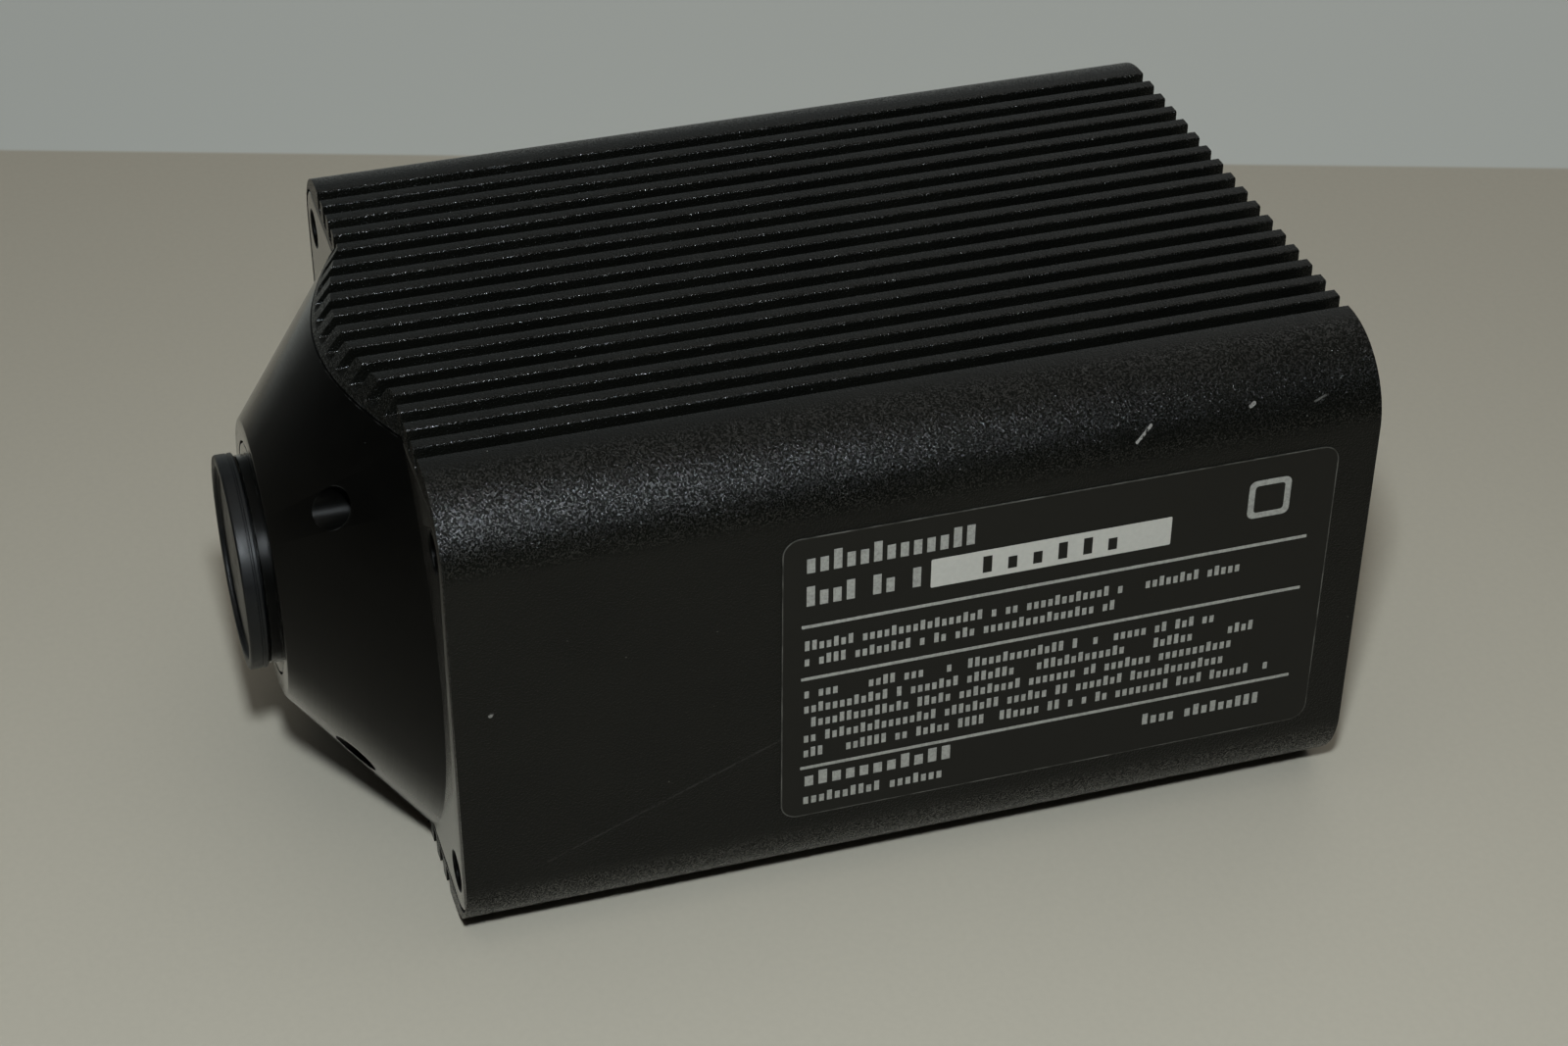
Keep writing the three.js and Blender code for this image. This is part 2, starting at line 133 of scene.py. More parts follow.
def new_material(name, viewport=(0.5, 0.5, 0.5)):
    """An empty material with its shader: its name, its node tree and its Principled shader."""
    made = bpy.data.materials.new(name)
    made.use_nodes = True
    made.diffuse_color = (*viewport, 1)
    made.node_tree.nodes.clear()
    shader = put(made.node_tree, "ShaderNodeBsdfPrincipled")
    put(made.node_tree, "ShaderNodeOutputMaterial", {"Surface": shader.outputs[0]})
    return made, made.node_tree, shader


def object_coordinates(tree):
    """A place on the piece, in the piece's own coordinates."""
    return put(tree, "ShaderNodeTexCoord").outputs["Object"]


def noise(tree, where, scale, detail=2.0, roughness=0.5):
    """The strength of a noise texture."""
    return put(tree, "ShaderNodeTexNoise",
               {"Vector": where, "Scale": scale, "Detail": detail, "Roughness": roughness}).outputs["Fac"]


def grained(name, grain, colours, rough, stretched=True, bump=None, bump_grain=None, **constants):
    """A finish between two colours and two roughnesses, by one noise. A grain is a noise's settings.

    Stretched, the middle of the noise covers the whole way between them.
    """
    made, tree, shader = new_material(name)
    place = object_coordinates(tree)
    level = noise(tree, place, *grain)
    if stretched:
        level = remap(tree, level, 0.35, 0.65)
    first, second = ((*colour, 1) for colour in colours)
    spread = (0, 1) if stretched else (0.3, 0.7)
    fill(tree, shader, {"Base Color": blend_colour(tree, level, first, second),
                        "Roughness": remap(tree, level, *spread, *rough)})
    if bump:
        height = noise(tree, place, *bump_grain) if bump_grain else level
        fill(tree, shader, {"Normal": raise_surface(tree, height, *bump)})
    fill(tree, shader, {socket.replace("_", " "): value for socket, value in constants.items()})
    return made


table_edge_point = Vector((-0.1530, 0.0600, 0))
table_edge_direction = Vector((0.330, 1.0, 0)).normalized()
table_colour = (0.560, 0.520, 0.430, 1)
beyond_colour = (0.600, 0.620, 0.580, 1)

floor_mesh = bpy.data.meshes.new("table_top")
floor_mesh.from_pydata([(-4, -4, 0), (4, -4, 0), (4, 4, 0), (-4, 4, 0)], [], [(0, 1, 2, 3)])
floor = bpy.data.objects.new("table_top", floor_mesh)
scene.collection.objects.link(floor)
laminate, tree, shader = new_material("laminate")
place = object_coordinates(tree)
past_edge = put(tree, "ShaderNodeVectorMath",
                {0: place, 1: Vector((-table_edge_direction.y, table_edge_direction.x, 0))},
                operation="DOT_PRODUCT").outputs["Value"]
edge_at = -table_edge_direction.y * table_edge_point.x + table_edge_direction.x * table_edge_point.y
beyond = remap(tree, past_edge, edge_at - 0.0008, edge_at + 0.0008, smooth=True)
mottle = remap(tree, noise(tree, place, 900, 3), 0.3, 0.7, 0.985, 1.015)
table = blend_colour(tree, 1.0, table_colour, mottle, "MULTIPLY")
fill(tree, shader, {"Base Color": blend_colour(tree, beyond, table, beyond_colour)})
glow = remap(tree, past_edge, edge_at, edge_at + 0.35, 0.055, 0.165)
fill(tree, shader, {
    "Emission Strength": calculate(tree, "MULTIPLY", beyond, glow),
    "Emission Color": (0.93, 1.0, 0.98, 1),
    "Roughness": 0.6,
    "Specular IOR Level": 0.25,
})
floor_mesh.materials.append(laminate)


def area_light(name, place, aim, size, watts, colour):
    """A square area light that points at a place."""
    data = bpy.data.lights.new(name, "AREA")
    data.size = size
    data.energy = watts
    data.color = colour
    lamp = bpy.data.objects.new(name, data)
    scene.collection.objects.link(lamp)
    lamp.location = place
    lamp.rotation_euler = (Vector(aim) - Vector(place)).to_track_quat("-Z", "Y").to_euler()


area_light("flash", (0.299, -0.092, 0.372), (0, 0, 0.03), 0.036, 1.32, (0.87, 0.95, 1.0))
area_light("ceiling", (0.1, 0.1, 2.0), (0, 0, 0.03), 2.4, 9.2, (1.0, 0.95, 0.87))
area_light("far_window", (-1.3, 1.1, 1.0), (0, 0, 0.03), 1.0, 1.4, (1.0, 0.95, 0.88))

world = bpy.data.worlds.new("room")
world.use_nodes = True
tree = world.node_tree
towards = put(tree, "ShaderNodeVectorMath",
              {0: put(tree, "ShaderNodeTexCoord").outputs["Generated"], 1: (-0.95, 0.31, 0.0)},
              operation="DOT_PRODUCT").outputs["Value"]
wall_share = remap(tree, towards, 0.35, 0.80, smooth=True)
tree.links.new(blend_colour(tree, wall_share, (0.014, 0.013, 0.012, 1), (0.20, 0.22, 0.22, 1)),
               tree.nodes["Background"].inputs[0])
scene.world = world


# ---------------------------------------------------------------------------------------------
# The housing
# One aluminium extrusion, finned above and below between round shoulders. Its front end is
# turned to the nose's cone, and it is bead blasted and anodised black.
height = cad_high.z
half_height = height / 2
axis_height = half_height
housing_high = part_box("housing")[1]
half_width = housing_high.x
nose_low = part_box("nose_block")[0]
nose_length = 17.55 * mm
ear_plane = nose_low.y + nose_length
rear_end = housing_high.y
seam_height = 33.2 * mm
cone_base_radius = 41.8 * mm
land_radius = 20.0 * mm
gap = 0.3 * mm


def interface(tree, inputs, outputs):
    """Gives a tree its named inputs and outputs, and returns the group input's outputs by name."""
    for name, kind in inputs.items():
        tree.interface.new_socket(name, in_out="INPUT", socket_type=kind)
    for name, kind in outputs.items():
        tree.interface.new_socket(name, in_out="OUTPUT", socket_type=kind)
    return put(tree, "NodeGroupInput").outputs


def shape_tree(name, inputs):
    """A Geometry Nodes tree with named inputs, and a Geometry output."""
    tree = bpy.data.node_groups.new(name, "GeometryNodeTree")
    tree.is_modifier = True
    given = interface(tree, {**inputs, "Finish": "NodeSocketMaterial"}, {"Geometry": "NodeSocketGeometry"})
    return tree, given


def close_tree(tree, geometry, finish):
    """Ends a tree: its instances are realized and its material is set."""
    real = put(tree, "GeometryNodeRealizeInstances", {"Geometry": geometry})
    painted = put(tree, "GeometryNodeSetMaterial", {"Geometry": real.outputs[0], "Material": finish})
    put(tree, "NodeGroupOutput", {"Geometry": painted.outputs[0]})


def grow(name, tree, values, sharp_angle=30):
    """Runs a tree and returns its result as a plain mesh object."""
    mesh = bpy.data.meshes.new(name)
    made = bpy.data.objects.new(name, mesh)
    scene.collection.objects.link(made)
    modifier = made.modifiers.new("shape", "NODES")
    modifier.node_group = tree
    for item in tree.interface.items_tree:
        if item.in_out == "INPUT" and item.name in values:
            modifier[item.identifier] = values[item.name]
    bpy.context.view_layer.update()
    result = bpy.data.meshes.new_from_object(made.evaluated_get(bpy.context.evaluated_depsgraph_get()))
    made.modifiers.clear()
    made.data = result
    result.name = name
    smooth(made, sharp_angle)
    return made


def smooth(piece, sharp_angle):
    """Smooth faces, with hard edges where they meet at more than an angle."""
    piece.data.shade_smooth()
    piece.data.set_sharp_from_angle(angle=math.radians(sharp_angle))


def prism(tree, outline, start, length):
    """An outline in X and Y of the tree, filled and drawn out along the camera head's +Y from a start."""
    filled = put(tree, "GeometryNodeFillCurve", {"Curve": outline}, mode="NGONS")
    back = put(tree, "GeometryNodeFlipFaces", {"Mesh": filled.outputs[0]})
    drawn = put(tree, "GeometryNodeExtrudeMesh",
                {"Mesh": filled.outputs[0], "Offset": (0, 0, 1), "Offset Scale": length,
                 "Individual": False})
    both = put(tree, "GeometryNodeJoinGeometry")
    tree.links.new(back.outputs[0], both.inputs[0])
    tree.links.new(drawn.outputs[0], both.inputs[0])
    whole = put(tree, "GeometryNodeMergeByDistance", {"Geometry": both.outputs[0], "Distance": 1e-6})
    end = calculate(tree, "MULTIPLY", calculate(tree, "ADD", start, length), -1)
    shift = put(tree, "ShaderNodeCombineXYZ", {"Z": end})
    sunk = put(tree, "GeometryNodeTransform", {"Geometry": whole.outputs[0], "Translation": shift.outputs[0]})
    upright = put(tree, "GeometryNodeTransform",
                  {"Geometry": sunk.outputs[0], "Rotation": (math.pi / 2, 0, 0),
                   "Translation": (0, 0, axis_height)})
    return upright.outputs[0]


def rounded_outline(tree, width, height, radius, steps=8):
    """A rectangle with round corners, as a curve."""
    outline = put(tree, "GeometryNodeCurvePrimitiveQuadrilateral", {"Width": width, "Height": height})
    return put(tree, "GeometryNodeFilletCurve",
               {"Curve": outline.outputs[0], "Radius": radius, "Count": steps}, mode="POLY").outputs[0]


def box_between(tree, low, high):
    """A box from its lowest to its highest corner."""
    low, high = Vector(low), Vector(high)
    cube = put(tree, "GeometryNodeMeshCube", {"Size": high - low})
    return put(tree, "GeometryNodeTransform",
               {"Geometry": cube.outputs[0], "Translation": (low + high) / 2}).outputs[0]


def cut(tree, operation, body, *tools):
    """One solid, cut or joined by others."""
    made = put(tree, "GeometryNodeMeshBoolean", operation=operation, solver="MANIFOLD")
    if operation == "DIFFERENCE":
        tree.links.new(body, made.inputs["Mesh 1"])
    else:
        tree.links.new(body, made.inputs["Mesh 2"])
    for tool in tools:
        tree.links.new(tool, made.inputs["Mesh 2"])
    return made.outputs["Mesh"]


def round_bar(tree, radius, start, end, steps=24, far_radius=None, x=0.0, z=0.0):
    """A round bar or a cone along Y, from a start to an end."""
    bar = put(tree, "GeometryNodeMeshCone",
              {"Vertices": steps, "Radius Bottom": radius,
               "Radius Top": radius if far_radius is None else far_radius,
               "Depth": end - start})
    return put(tree, "GeometryNodeTransform",
               {"Geometry": bar.outputs[0], "Rotation": (-math.pi / 2, 0, 0),
                "Translation": (x, start, axis_height + z)}).outputs[0]


tree, given = shape_tree("finned_extrusion", {
    "Half Width": "NodeSocketFloat", "Half Height": "NodeSocketFloat", "Shoulder Radius": "NodeSocketFloat",
    "Fins": "NodeSocketInt", "Fin Pitch": "NodeSocketFloat", "Fin Width": "NodeSocketFloat",
    "Fin Depth": "NodeSocketFloat", "Edge Radius": "NodeSocketFloat"})
points_a_side = calculate(tree, "MULTIPLY_ADD", given["Fins"], 4, 6)
index = put(tree, "GeometryNodeInputIndex").outputs[0]
second_side = calculate(tree, "FLOOR",
                        calculate(tree, "DIVIDE", calculate(tree, "ADD", index, 0.5), points_a_side))
turn_over = calculate(tree, "MULTIPLY_ADD", second_side, -2, 1)
step_on_side = calculate(tree, "SUBTRACT", index, calculate(tree, "MULTIPLY", second_side, points_a_side))
fin_step = calculate(tree, "SUBTRACT", step_on_side, 1)
flank = calculate(tree, "FLOOR", calculate(tree, "MULTIPLY_ADD", fin_step, 0.5, 0.1))
rising = calculate(tree, "GREATER_THAN", calculate(tree, "MODULO", flank, 2), 0.5)
half_fin = calculate(tree, "MULTIPLY", given["Fin Width"], 0.5)
half_pitch = calculate(tree, "MULTIPLY", given["Fin Pitch"], 0.5)
between = calculate(tree, "SUBTRACT", half_pitch, given["Fin Width"])
flank_from_middle = calculate(tree, "SUBTRACT", flank, calculate(tree, "ADD", given["Fins"], 1))
fin_x = calculate(tree, "ADD", calculate(tree, "MULTIPLY_ADD", flank_from_middle, half_pitch, half_fin),
                  calculate(tree, "MULTIPLY", rising, between))
low_point = calculate(tree, "COMPARE", calculate(tree, "MODULO", fin_step, 4), 1.5, 0.6)
fin_z = calculate(tree, "SUBTRACT", given["Half Height"],
                  calculate(tree, "MULTIPLY", low_point, given["Fin Depth"]))
at_start = calculate(tree, "LESS_THAN", step_on_side, 0.5)
at_end = calculate(tree, "GREATER_THAN", step_on_side, calculate(tree, "SUBTRACT", points_a_side, 1.5))
at_corner = calculate(tree, "ADD", at_start, at_end)
corner_x = calculate(tree, "MULTIPLY", calculate(tree, "SUBTRACT", at_end, at_start), given["Half Width"])
outline_x = calculate(tree, "ADD", corner_x,
                      calculate(tree, "MULTIPLY", calculate(tree, "SUBTRACT", 1, at_corner), fin_x))
outline_z = calculate(tree, "ADD", calculate(tree, "MULTIPLY", at_corner, given["Half Height"]),
                      calculate(tree, "MULTIPLY", calculate(tree, "SUBTRACT", 1, at_corner), fin_z))
spot = put(tree, "ShaderNodeCombineXYZ", {"X": calculate(tree, "MULTIPLY", outline_x, turn_over),
                                          "Y": calculate(tree, "MULTIPLY", outline_z, turn_over)})
spots = put(tree, "GeometryNodePoints",
            {"Count": calculate(tree, "MULTIPLY", points_a_side, 2), "Position": spot.outputs[0],
             "Radius": 0.001})
keep_radius = put(tree, "GeometryNodeStoreNamedAttribute",
                  {"Geometry": spots.outputs[0], "Name": "corner", "Value": at_corner}, data_type="FLOAT",
                  domain="POINT")
line = put(tree, "GeometryNodePointsToCurves", {"Points": keep_radius.outputs[0]})
loop = put(tree, "GeometryNodeSetSplineCyclic", {"Geometry": line.outputs[0], "Cyclic": True})
corner = put(tree, "GeometryNodeInputNamedAttribute", {"Name": "corner"},
             data_type="FLOAT").outputs["Attribute"]
radius = put(tree, "ShaderNodeMix", data_type="FLOAT")
tree.links.new(corner, radius.inputs[0])
tree.links.new(given["Edge Radius"], radius.inputs[2])
tree.links.new(given["Shoulder Radius"], radius.inputs[3])
steps = calculate(tree, "MULTIPLY_ADD", corner, 37, 3)
rounded = put(tree, "GeometryNodeFilletCurve",
              {"Curve": loop.outputs[0], "Radius": radius.outputs[0], "Count": steps, "Limit Radius": True},
              mode="POLY")
bar = prism(tree, rounded.outputs[0], ear_plane - nose_length, rear_end - ear_plane + nose_length)
taper = (cone_base_radius - land_radius) / nose_length
turned_front = round_bar(tree, land_radius, ear_plane - nose_length, ear_plane + 2 * mm, 240,
                         cone_base_radius + 2 * mm * taper)
behind_ears = box_between(tree, (-2 * half_width, ear_plane, -mm),
                          (2 * half_width, rear_end + mm, height + mm))
faced = cut(tree, "INTERSECT", bar, cut(tree, "UNION", turned_front, behind_ears))
front_pocket = prism(tree, rounded_outline(tree, 97.0 * mm, 66.7 * mm, 5.9 * mm), ear_plane - mm, 11.3 * mm)
under_roof = box_between(tree, (-half_width, ear_plane - 2 * nose_length,
                                axis_height - seam_height - gap / 2),
                         (half_width, ear_plane, axis_height + seam_height + gap / 2))
cavity = [box_between(tree, (-x, ear_plane - mm, axis_height - z), (x, rear_end + mm, axis_height + z))
          for x, z in ((44.0 * mm, 20.0 * mm), (34.5 * mm, 29.5 * mm))]
rear_pocket = prism(tree, rounded_outline(tree, 92.6 * mm, 64.6 * mm, 5.0 * mm), rear_end - 3.3 * mm,
                    4.3 * mm)
label_low, label_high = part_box("label_plate")
screw_x = 43.0 * mm
screw_z = 27.1 * mm
corner_spots = put(tree, "GeometryNodeCurvePrimitiveQuadrilateral",
                   {"Width": 2 * screw_x, "Height": 2 * screw_z})
upright_spots = put(tree, "GeometryNodeTransform",
                    {"Geometry": corner_spots.outputs[0], "Rotation": (math.pi / 2, 0, 0)})
screw_holes = []
for start, end in ((ear_plane, ear_plane + 20.3 * mm), (rear_end - 13.3 * mm, rear_end + mm)):
    hole = round_bar(tree, 1.8 * mm, start, end, 20)
    holes = put(tree, "GeometryNodeInstanceOnPoints", {"Points": upright_spots.outputs[0], "Instance": hole})
    screw_holes.append(put(tree, "GeometryNodeRealizeInstances", {"Geometry": holes.outputs[0]}).outputs[0])
hollowed = cut(tree, "DIFFERENCE", faced, front_pocket, under_roof, *cavity, rear_pocket, *screw_holes)
close_tree(tree, hollowed, given["Finish"])


def shader_group(name, inputs, outputs):
    """A shader node group with named float inputs and named outputs."""
    tree = bpy.data.node_groups.new(name, "ShaderNodeTree")
    given = interface(tree, {n: "NodeSocketFloat" for n in inputs}, outputs)
    return tree, given


# Bead blasting leaves pebbles a third of a millimetre across, some of which catch the light.
pebble_tree, given = shader_group("blasted_pebbles", ["Size", "Depth"],
                                  {"Height": "NodeSocketFloat", "Glint": "NodeSocketFloat"})
place = object_coordinates(pebble_tree)
density = calculate(pebble_tree, "DIVIDE", 1.0, given["Size"])
pebbles = put(pebble_tree, "ShaderNodeTexVoronoi", {"Vector": place, "Scale": density, "Randomness": 1.0},
              feature="SMOOTH_F1")
fine = noise(pebble_tree, place, calculate(pebble_tree, "MULTIPLY", density, 0.8), 3, 0.6)
level = calculate(pebble_tree, "MULTIPLY_ADD", pebbles.outputs["Distance"], -0.5, fine)
grain = put(pebble_tree, "ShaderNodeTexVoronoi",
            {"Vector": place, "Scale": calculate(pebble_tree, "MULTIPLY", density, 1.25),
             "Randomness": 1.0})
draw = put(pebble_tree, "ShaderNodeSeparateColor", {"Color": grain.outputs["Color"]}).outputs[0]
normal = put(pebble_tree, "ShaderNodeVectorMath",
             {0: put(pebble_tree, "ShaderNodeNewGeometry").outputs["Normal"]}, operation="ABSOLUTE")
lean = put(pebble_tree, "ShaderNodeSeparateXYZ", {0: normal.outputs["Vector"]}).outputs
curved = remap(pebble_tree, calculate(pebble_tree, "MAXIMUM", lean[0], lean[2]), 0.9995, 0.975)
glint = calculate(pebble_tree, "ADD",
                  calculate(pebble_tree, "MULTIPLY", remap(pebble_tree, draw, 0.40, 0.97), curved),
                  remap(pebble_tree, curved, 0, 1, 0.20, 0.0))
put(pebble_tree, "NodeGroupOutput",
    {"Height": calculate(pebble_tree, "MULTIPLY", level, given["Depth"]), "Glint": glint})

# Handling rubs the anodising off sharp edges in patches.
wear_tree, given = shader_group("rubbed_edges", ["Reach", "Amount"], {"Mask": "NodeSocketFloat"})
true_normal = put(wear_tree, "ShaderNodeNewGeometry").outputs["Normal"]
round_normal = put(wear_tree, "ShaderNodeBevel", {"Radius": given["Reach"]}, samples=4).outputs["Normal"]
facing = put(wear_tree, "ShaderNodeVectorMath", {0: true_normal, 1: round_normal},
             operation="DOT_PRODUCT").outputs["Value"]
edge = remap(wear_tree, facing, 0.995, 0.90)
patches = remap(wear_tree, noise(wear_tree, object_coordinates(wear_tree), 420, 4, 0.65), 0.50, 0.66)
put(wear_tree, "NodeGroupOutput",
    {"Mask": calculate(wear_tree, "MULTIPLY", calculate(wear_tree, "MULTIPLY", edge, patches),
                       given["Amount"], clamp=True)})

# Dust lies on the surfaces as sparse pale specks.
dust_tree, given = shader_group("dust_specks", ["Spacing", "Amount"], {"Mask": "NodeSocketFloat"})
place = object_coordinates(dust_tree)
cells = put(dust_tree, "ShaderNodeTexVoronoi",
            {"Vector": place, "Scale": calculate(dust_tree, "DIVIDE", 1.0, given["Spacing"]),
             "Randomness": 1.0})
dot = remap(dust_tree, cells.outputs["Distance"], 0.035, 0.020)
chosen = put(dust_tree, "ShaderNodeSeparateColor", {"Color": cells.outputs["Color"]}).outputs[0]
some = calculate(dust_tree, "LESS_THAN", chosen, given["Amount"])
put(dust_tree, "NodeGroupOutput", {"Mask": calculate(dust_tree, "MULTIPLY", dot, some)})


# A scratch runs between two points and shows on the +X side, with breaks along it.
scratch_tree, given = shader_group("side_scratch", ["Width", "Amount"], {"Mask": "NodeSocketFloat"})
for end_name in ("Start", "End"):
    scratch_tree.interface.new_socket(end_name, in_out="INPUT", socket_type="NodeSocketVector")
place = object_coordinates(scratch_tree)


def vector_maths(tree, operation, first, second, output="Vector"):
    """An output of a Vector Math node."""
    return put(tree, "ShaderNodeVectorMath", {0: first, 1: second}, operation=operation).outputs[output]


flat_place = vector_maths(scratch_tree, "MULTIPLY", place, (0, 1, 1))
run = vector_maths(scratch_tree, "SUBTRACT", given["End"], given["Start"])
reach = vector_maths(scratch_tree, "SUBTRACT", flat_place, given["Start"])
along = calculate(scratch_tree, "DIVIDE", vector_maths(scratch_tree, "DOT_PRODUCT", reach, run, "Value"),
                  vector_maths(scratch_tree, "DOT_PRODUCT", run, run, "Value"), clamp=True)
nearest = put(scratch_tree, "ShaderNodeVectorMath", {0: run, "Scale": along},
              operation="SCALE").outputs["Vector"]
gap = vector_maths(scratch_tree, "DISTANCE", reach, nearest, "Value")
line = calculate(scratch_tree, "LESS_THAN", gap, given["Width"])
breaks = remap(scratch_tree, noise(scratch_tree, place, 1800, 3, 0.6), 0.36, 0.50)
right_side = calculate(scratch_tree, "GREATER_THAN",
                       put(scratch_tree, "ShaderNodeSeparateXYZ", {0: place}).outputs[0], 0.0)
shown = calculate(scratch_tree, "MULTIPLY", calculate(scratch_tree, "MULTIPLY", line, breaks), right_side)
put(scratch_tree, "NodeGroupOutput", {"Mask": calculate(scratch_tree, "MULTIPLY", shown, given["Amount"])})


def use_group(tree, group, **values):
    """The outputs of a shader group, placed in a material with its own values."""
    made = put(tree, "ShaderNodeGroup")
    made.node_tree = group
    for name, value in values.items():
        made.inputs[name].default_value = value
    return made.outputs


def raise_surface(tree, height, strength=1.0, distance=0.001):
    """The normal of a surface with a height on it."""
    return put(tree, "ShaderNodeBump",
               {"Height": height, "Strength": strength, "Distance": distance}).outputs["Normal"]


blasted_black, tree, shader = new_material("blasted_black_anodise")
skin = use_group(tree, pebble_tree, Size=0.00024, Depth=1.0)
wear = use_group(tree, wear_tree, Reach=0.0003, Amount=0.16)["Mask"]
dust = use_group(tree, dust_tree, Spacing=0.0040, Amount=0.35)["Mask"]
tone = remap(tree, noise(tree, object_coordinates(tree), 70, 4, 0.6), 0.35, 0.65, 0.0, 1.0)
base = blend_colour(tree, tone, (0.0029, 0.0031, 0.0024, 1), (0.0043, 0.0045, 0.0034, 1))
# The glint mask also lightens the colour of some pebbles on curved faces: a painted glint.
base = blend_colour(tree, calculate(tree, "MULTIPLY", skin["Glint"], 0.10), base, (0.020, 0.021, 0.022, 1))
base = blend_colour(tree, wear, base, (0.16, 0.16, 0.155, 1))
base = blend_colour(tree, dust, base, (0.13, 0.13, 0.12, 1))
side_marks = [((0, -45.4, 14.0), (0, -9.9, 28.5), 0.14, 0.05), ((0, 37.2, 66.2), (0, 39.4, 68.0), 0.20, 0.70),
              ((0, 53.8, 68.2), (0, 54.4, 68.5), 0.24, 0.60), ((0, 63.1, 67.5), (0, 65.0, 68.1), 0.12, 0.22),
              ((0, -52.0, 41.0), (0, -51.8, 41.3), 0.30, 0.60)]
for start, end, width, amount in side_marks:
    mark = use_group(tree, scratch_tree, Start=[v * mm for v in start], End=[v * mm for v in end],
                     Width=width * mm, Amount=amount)
    base = blend_colour(tree, mark["Mask"], base, (0.42, 0.41, 0.38, 1))
fill(tree, shader, {
    "Base Color": base,
    "Roughness": remap(tree, skin["Glint"], 0, 1, 0.30, 0.20),
    "Normal": raise_surface(tree, skin["Height"], 1.0, 0.00011),
    "Specular IOR Level": remap(tree, skin["Glint"], 0, 1, 0.10, 0.74),
    "IOR": 1.46,
})

housing = grow("finned_housing", bpy.data.node_groups["finned_extrusion"], {
    "Half Width": half_width, "Half Height": half_height, "Shoulder Radius": 12 * mm, "Fins": 16,
    "Fin Pitch": 4.36 * mm,
    "Fin Width": 2.1 * mm, "Fin Depth": 3.0 * mm, "Edge Radius": 0.3 * mm, "Finish": blasted_black})
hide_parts("housing")
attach(housing, "camera_body")

# ---------------------------------------------------------------------------------------------
# The nose block
# One aluminium piece, turned to a cone with a flat land, on a square plate with four flat ears.
# It is anodised satin black and sits in the housing's front, held by a screw in each ear.
def shell(name, loops, wrap=False, sharp_angle=30):
    """A closed mesh through loops of points. With wrap the last loop joins the first.

    Without it each end is one face.
    """
    count = len(loops[0])
    points = [point for loop in loops for point in loop]
    faces = []
    for i in range(len(loops) if wrap else len(loops) - 1):
        this, other = i * count, (i + 1) % len(loops) * count
        faces += [(this + k, this + (k + 1) % count, other + (k + 1) % count,
                   other + k) for k in range(count)]
    if not wrap:
        faces += [tuple(range(count)), tuple(range(len(points) - count, len(points)))]
    mesh = bpy.data.meshes.new(name)
    mesh.from_pydata(points, [], faces)
    work = bmesh.new()
    work.from_mesh(mesh)
    bmesh.ops.remove_doubles(work, verts=work.verts, dist=1e-7)
    bmesh.ops.recalc_face_normals(work, faces=work.faces)
    work.to_mesh(mesh)
    work.free()
    made = bpy.data.objects.new(name, mesh)
    scene.collection.objects.link(made)
    smooth(made, sharp_angle)
    return made


corners = ((1, 1), (-1, 1), (-1, -1), (1, -1))


def turned(name, section, steps=128, wrap=True, x=0.0, z=0.0, sharp_angle=30):
    """A piece turned about an axis along Y, from the [radius, y] points of its half section in millimetres.
    Y is measured from the front face of the ears. A radius of 0 at both ends closes the piece on its axis."""
    loops = []
    for r, y in section:
        r = max(r, 1e-7)
        loops.append([(x + r * mm * math.sin(2 * math.pi * k / steps), ear_plane + y * mm,
                       axis_height + z + r * mm * math.cos(2 * math.pi * k / steps)) for k in range(steps)])
    return shell(name, loops, wrap, sharp_angle)


def rounded_corner(r, y, radius, start, end, steps=4):
    """Points on an arc about a centre in a half section, between two angles in degrees."""
    turns = [math.radians(start + (end - start) * k / steps) for k in range(steps + 1)]
    return [(r + radius * math.cos(t), y + radius * math.sin(t)) for t in turns]


def rounded_plate(name, half_x, half_z, radius, stations, steps=8, x=0.0, z=0.0, sharp_angle=30):
    """A plate with round corners, from its [y, inset] stations, in millimetres."""
    loops = []
    for y, inset in stations:
        loop = []
        for quarter, (sx, sz) in enumerate(corners):
            for k in range(steps + 1):
                turn = math.radians(90 * quarter + 90 * k / steps)
                across = sx * (half_x - radius) + (radius - inset) * math.cos(turn)
                up = sz * (half_z - radius) + (radius - inset) * math.sin(turn)
                loop.append((x + across * mm, ear_plane + y * mm, axis_height + z + up * mm))
        loops.append(loop)
    return shell(name, loops, sharp_angle=sharp_angle)


def carve(piece, operation, *tools, sharp_angle=30):
    """Joins a piece with tools, cuts them from it, or keeps what they share, and removes the tools."""
    for tool in tools:
        modifier = piece.modifiers.new(tool.name, "BOOLEAN")
        modifier.operation, modifier.solver, modifier.object = operation, "MANIFOLD", tool
    bpy.context.view_layer.update()
    result = bpy.data.meshes.new_from_object(piece.evaluated_get(bpy.context.evaluated_depsgraph_get()))
    piece.modifiers.clear()
    piece.data = result
    for tool in tools:
        bpy.data.objects.remove(tool)
    smooth(piece, sharp_angle)


def show(piece, body, slot, finish, *nodes):
    """Gives a piece its material and body, and hides the CAD nodes that it stands for."""
    piece.data.materials.clear()
    piece.data.materials.append(finish)
    if nodes:
        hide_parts(*nodes)
    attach(piece, body)


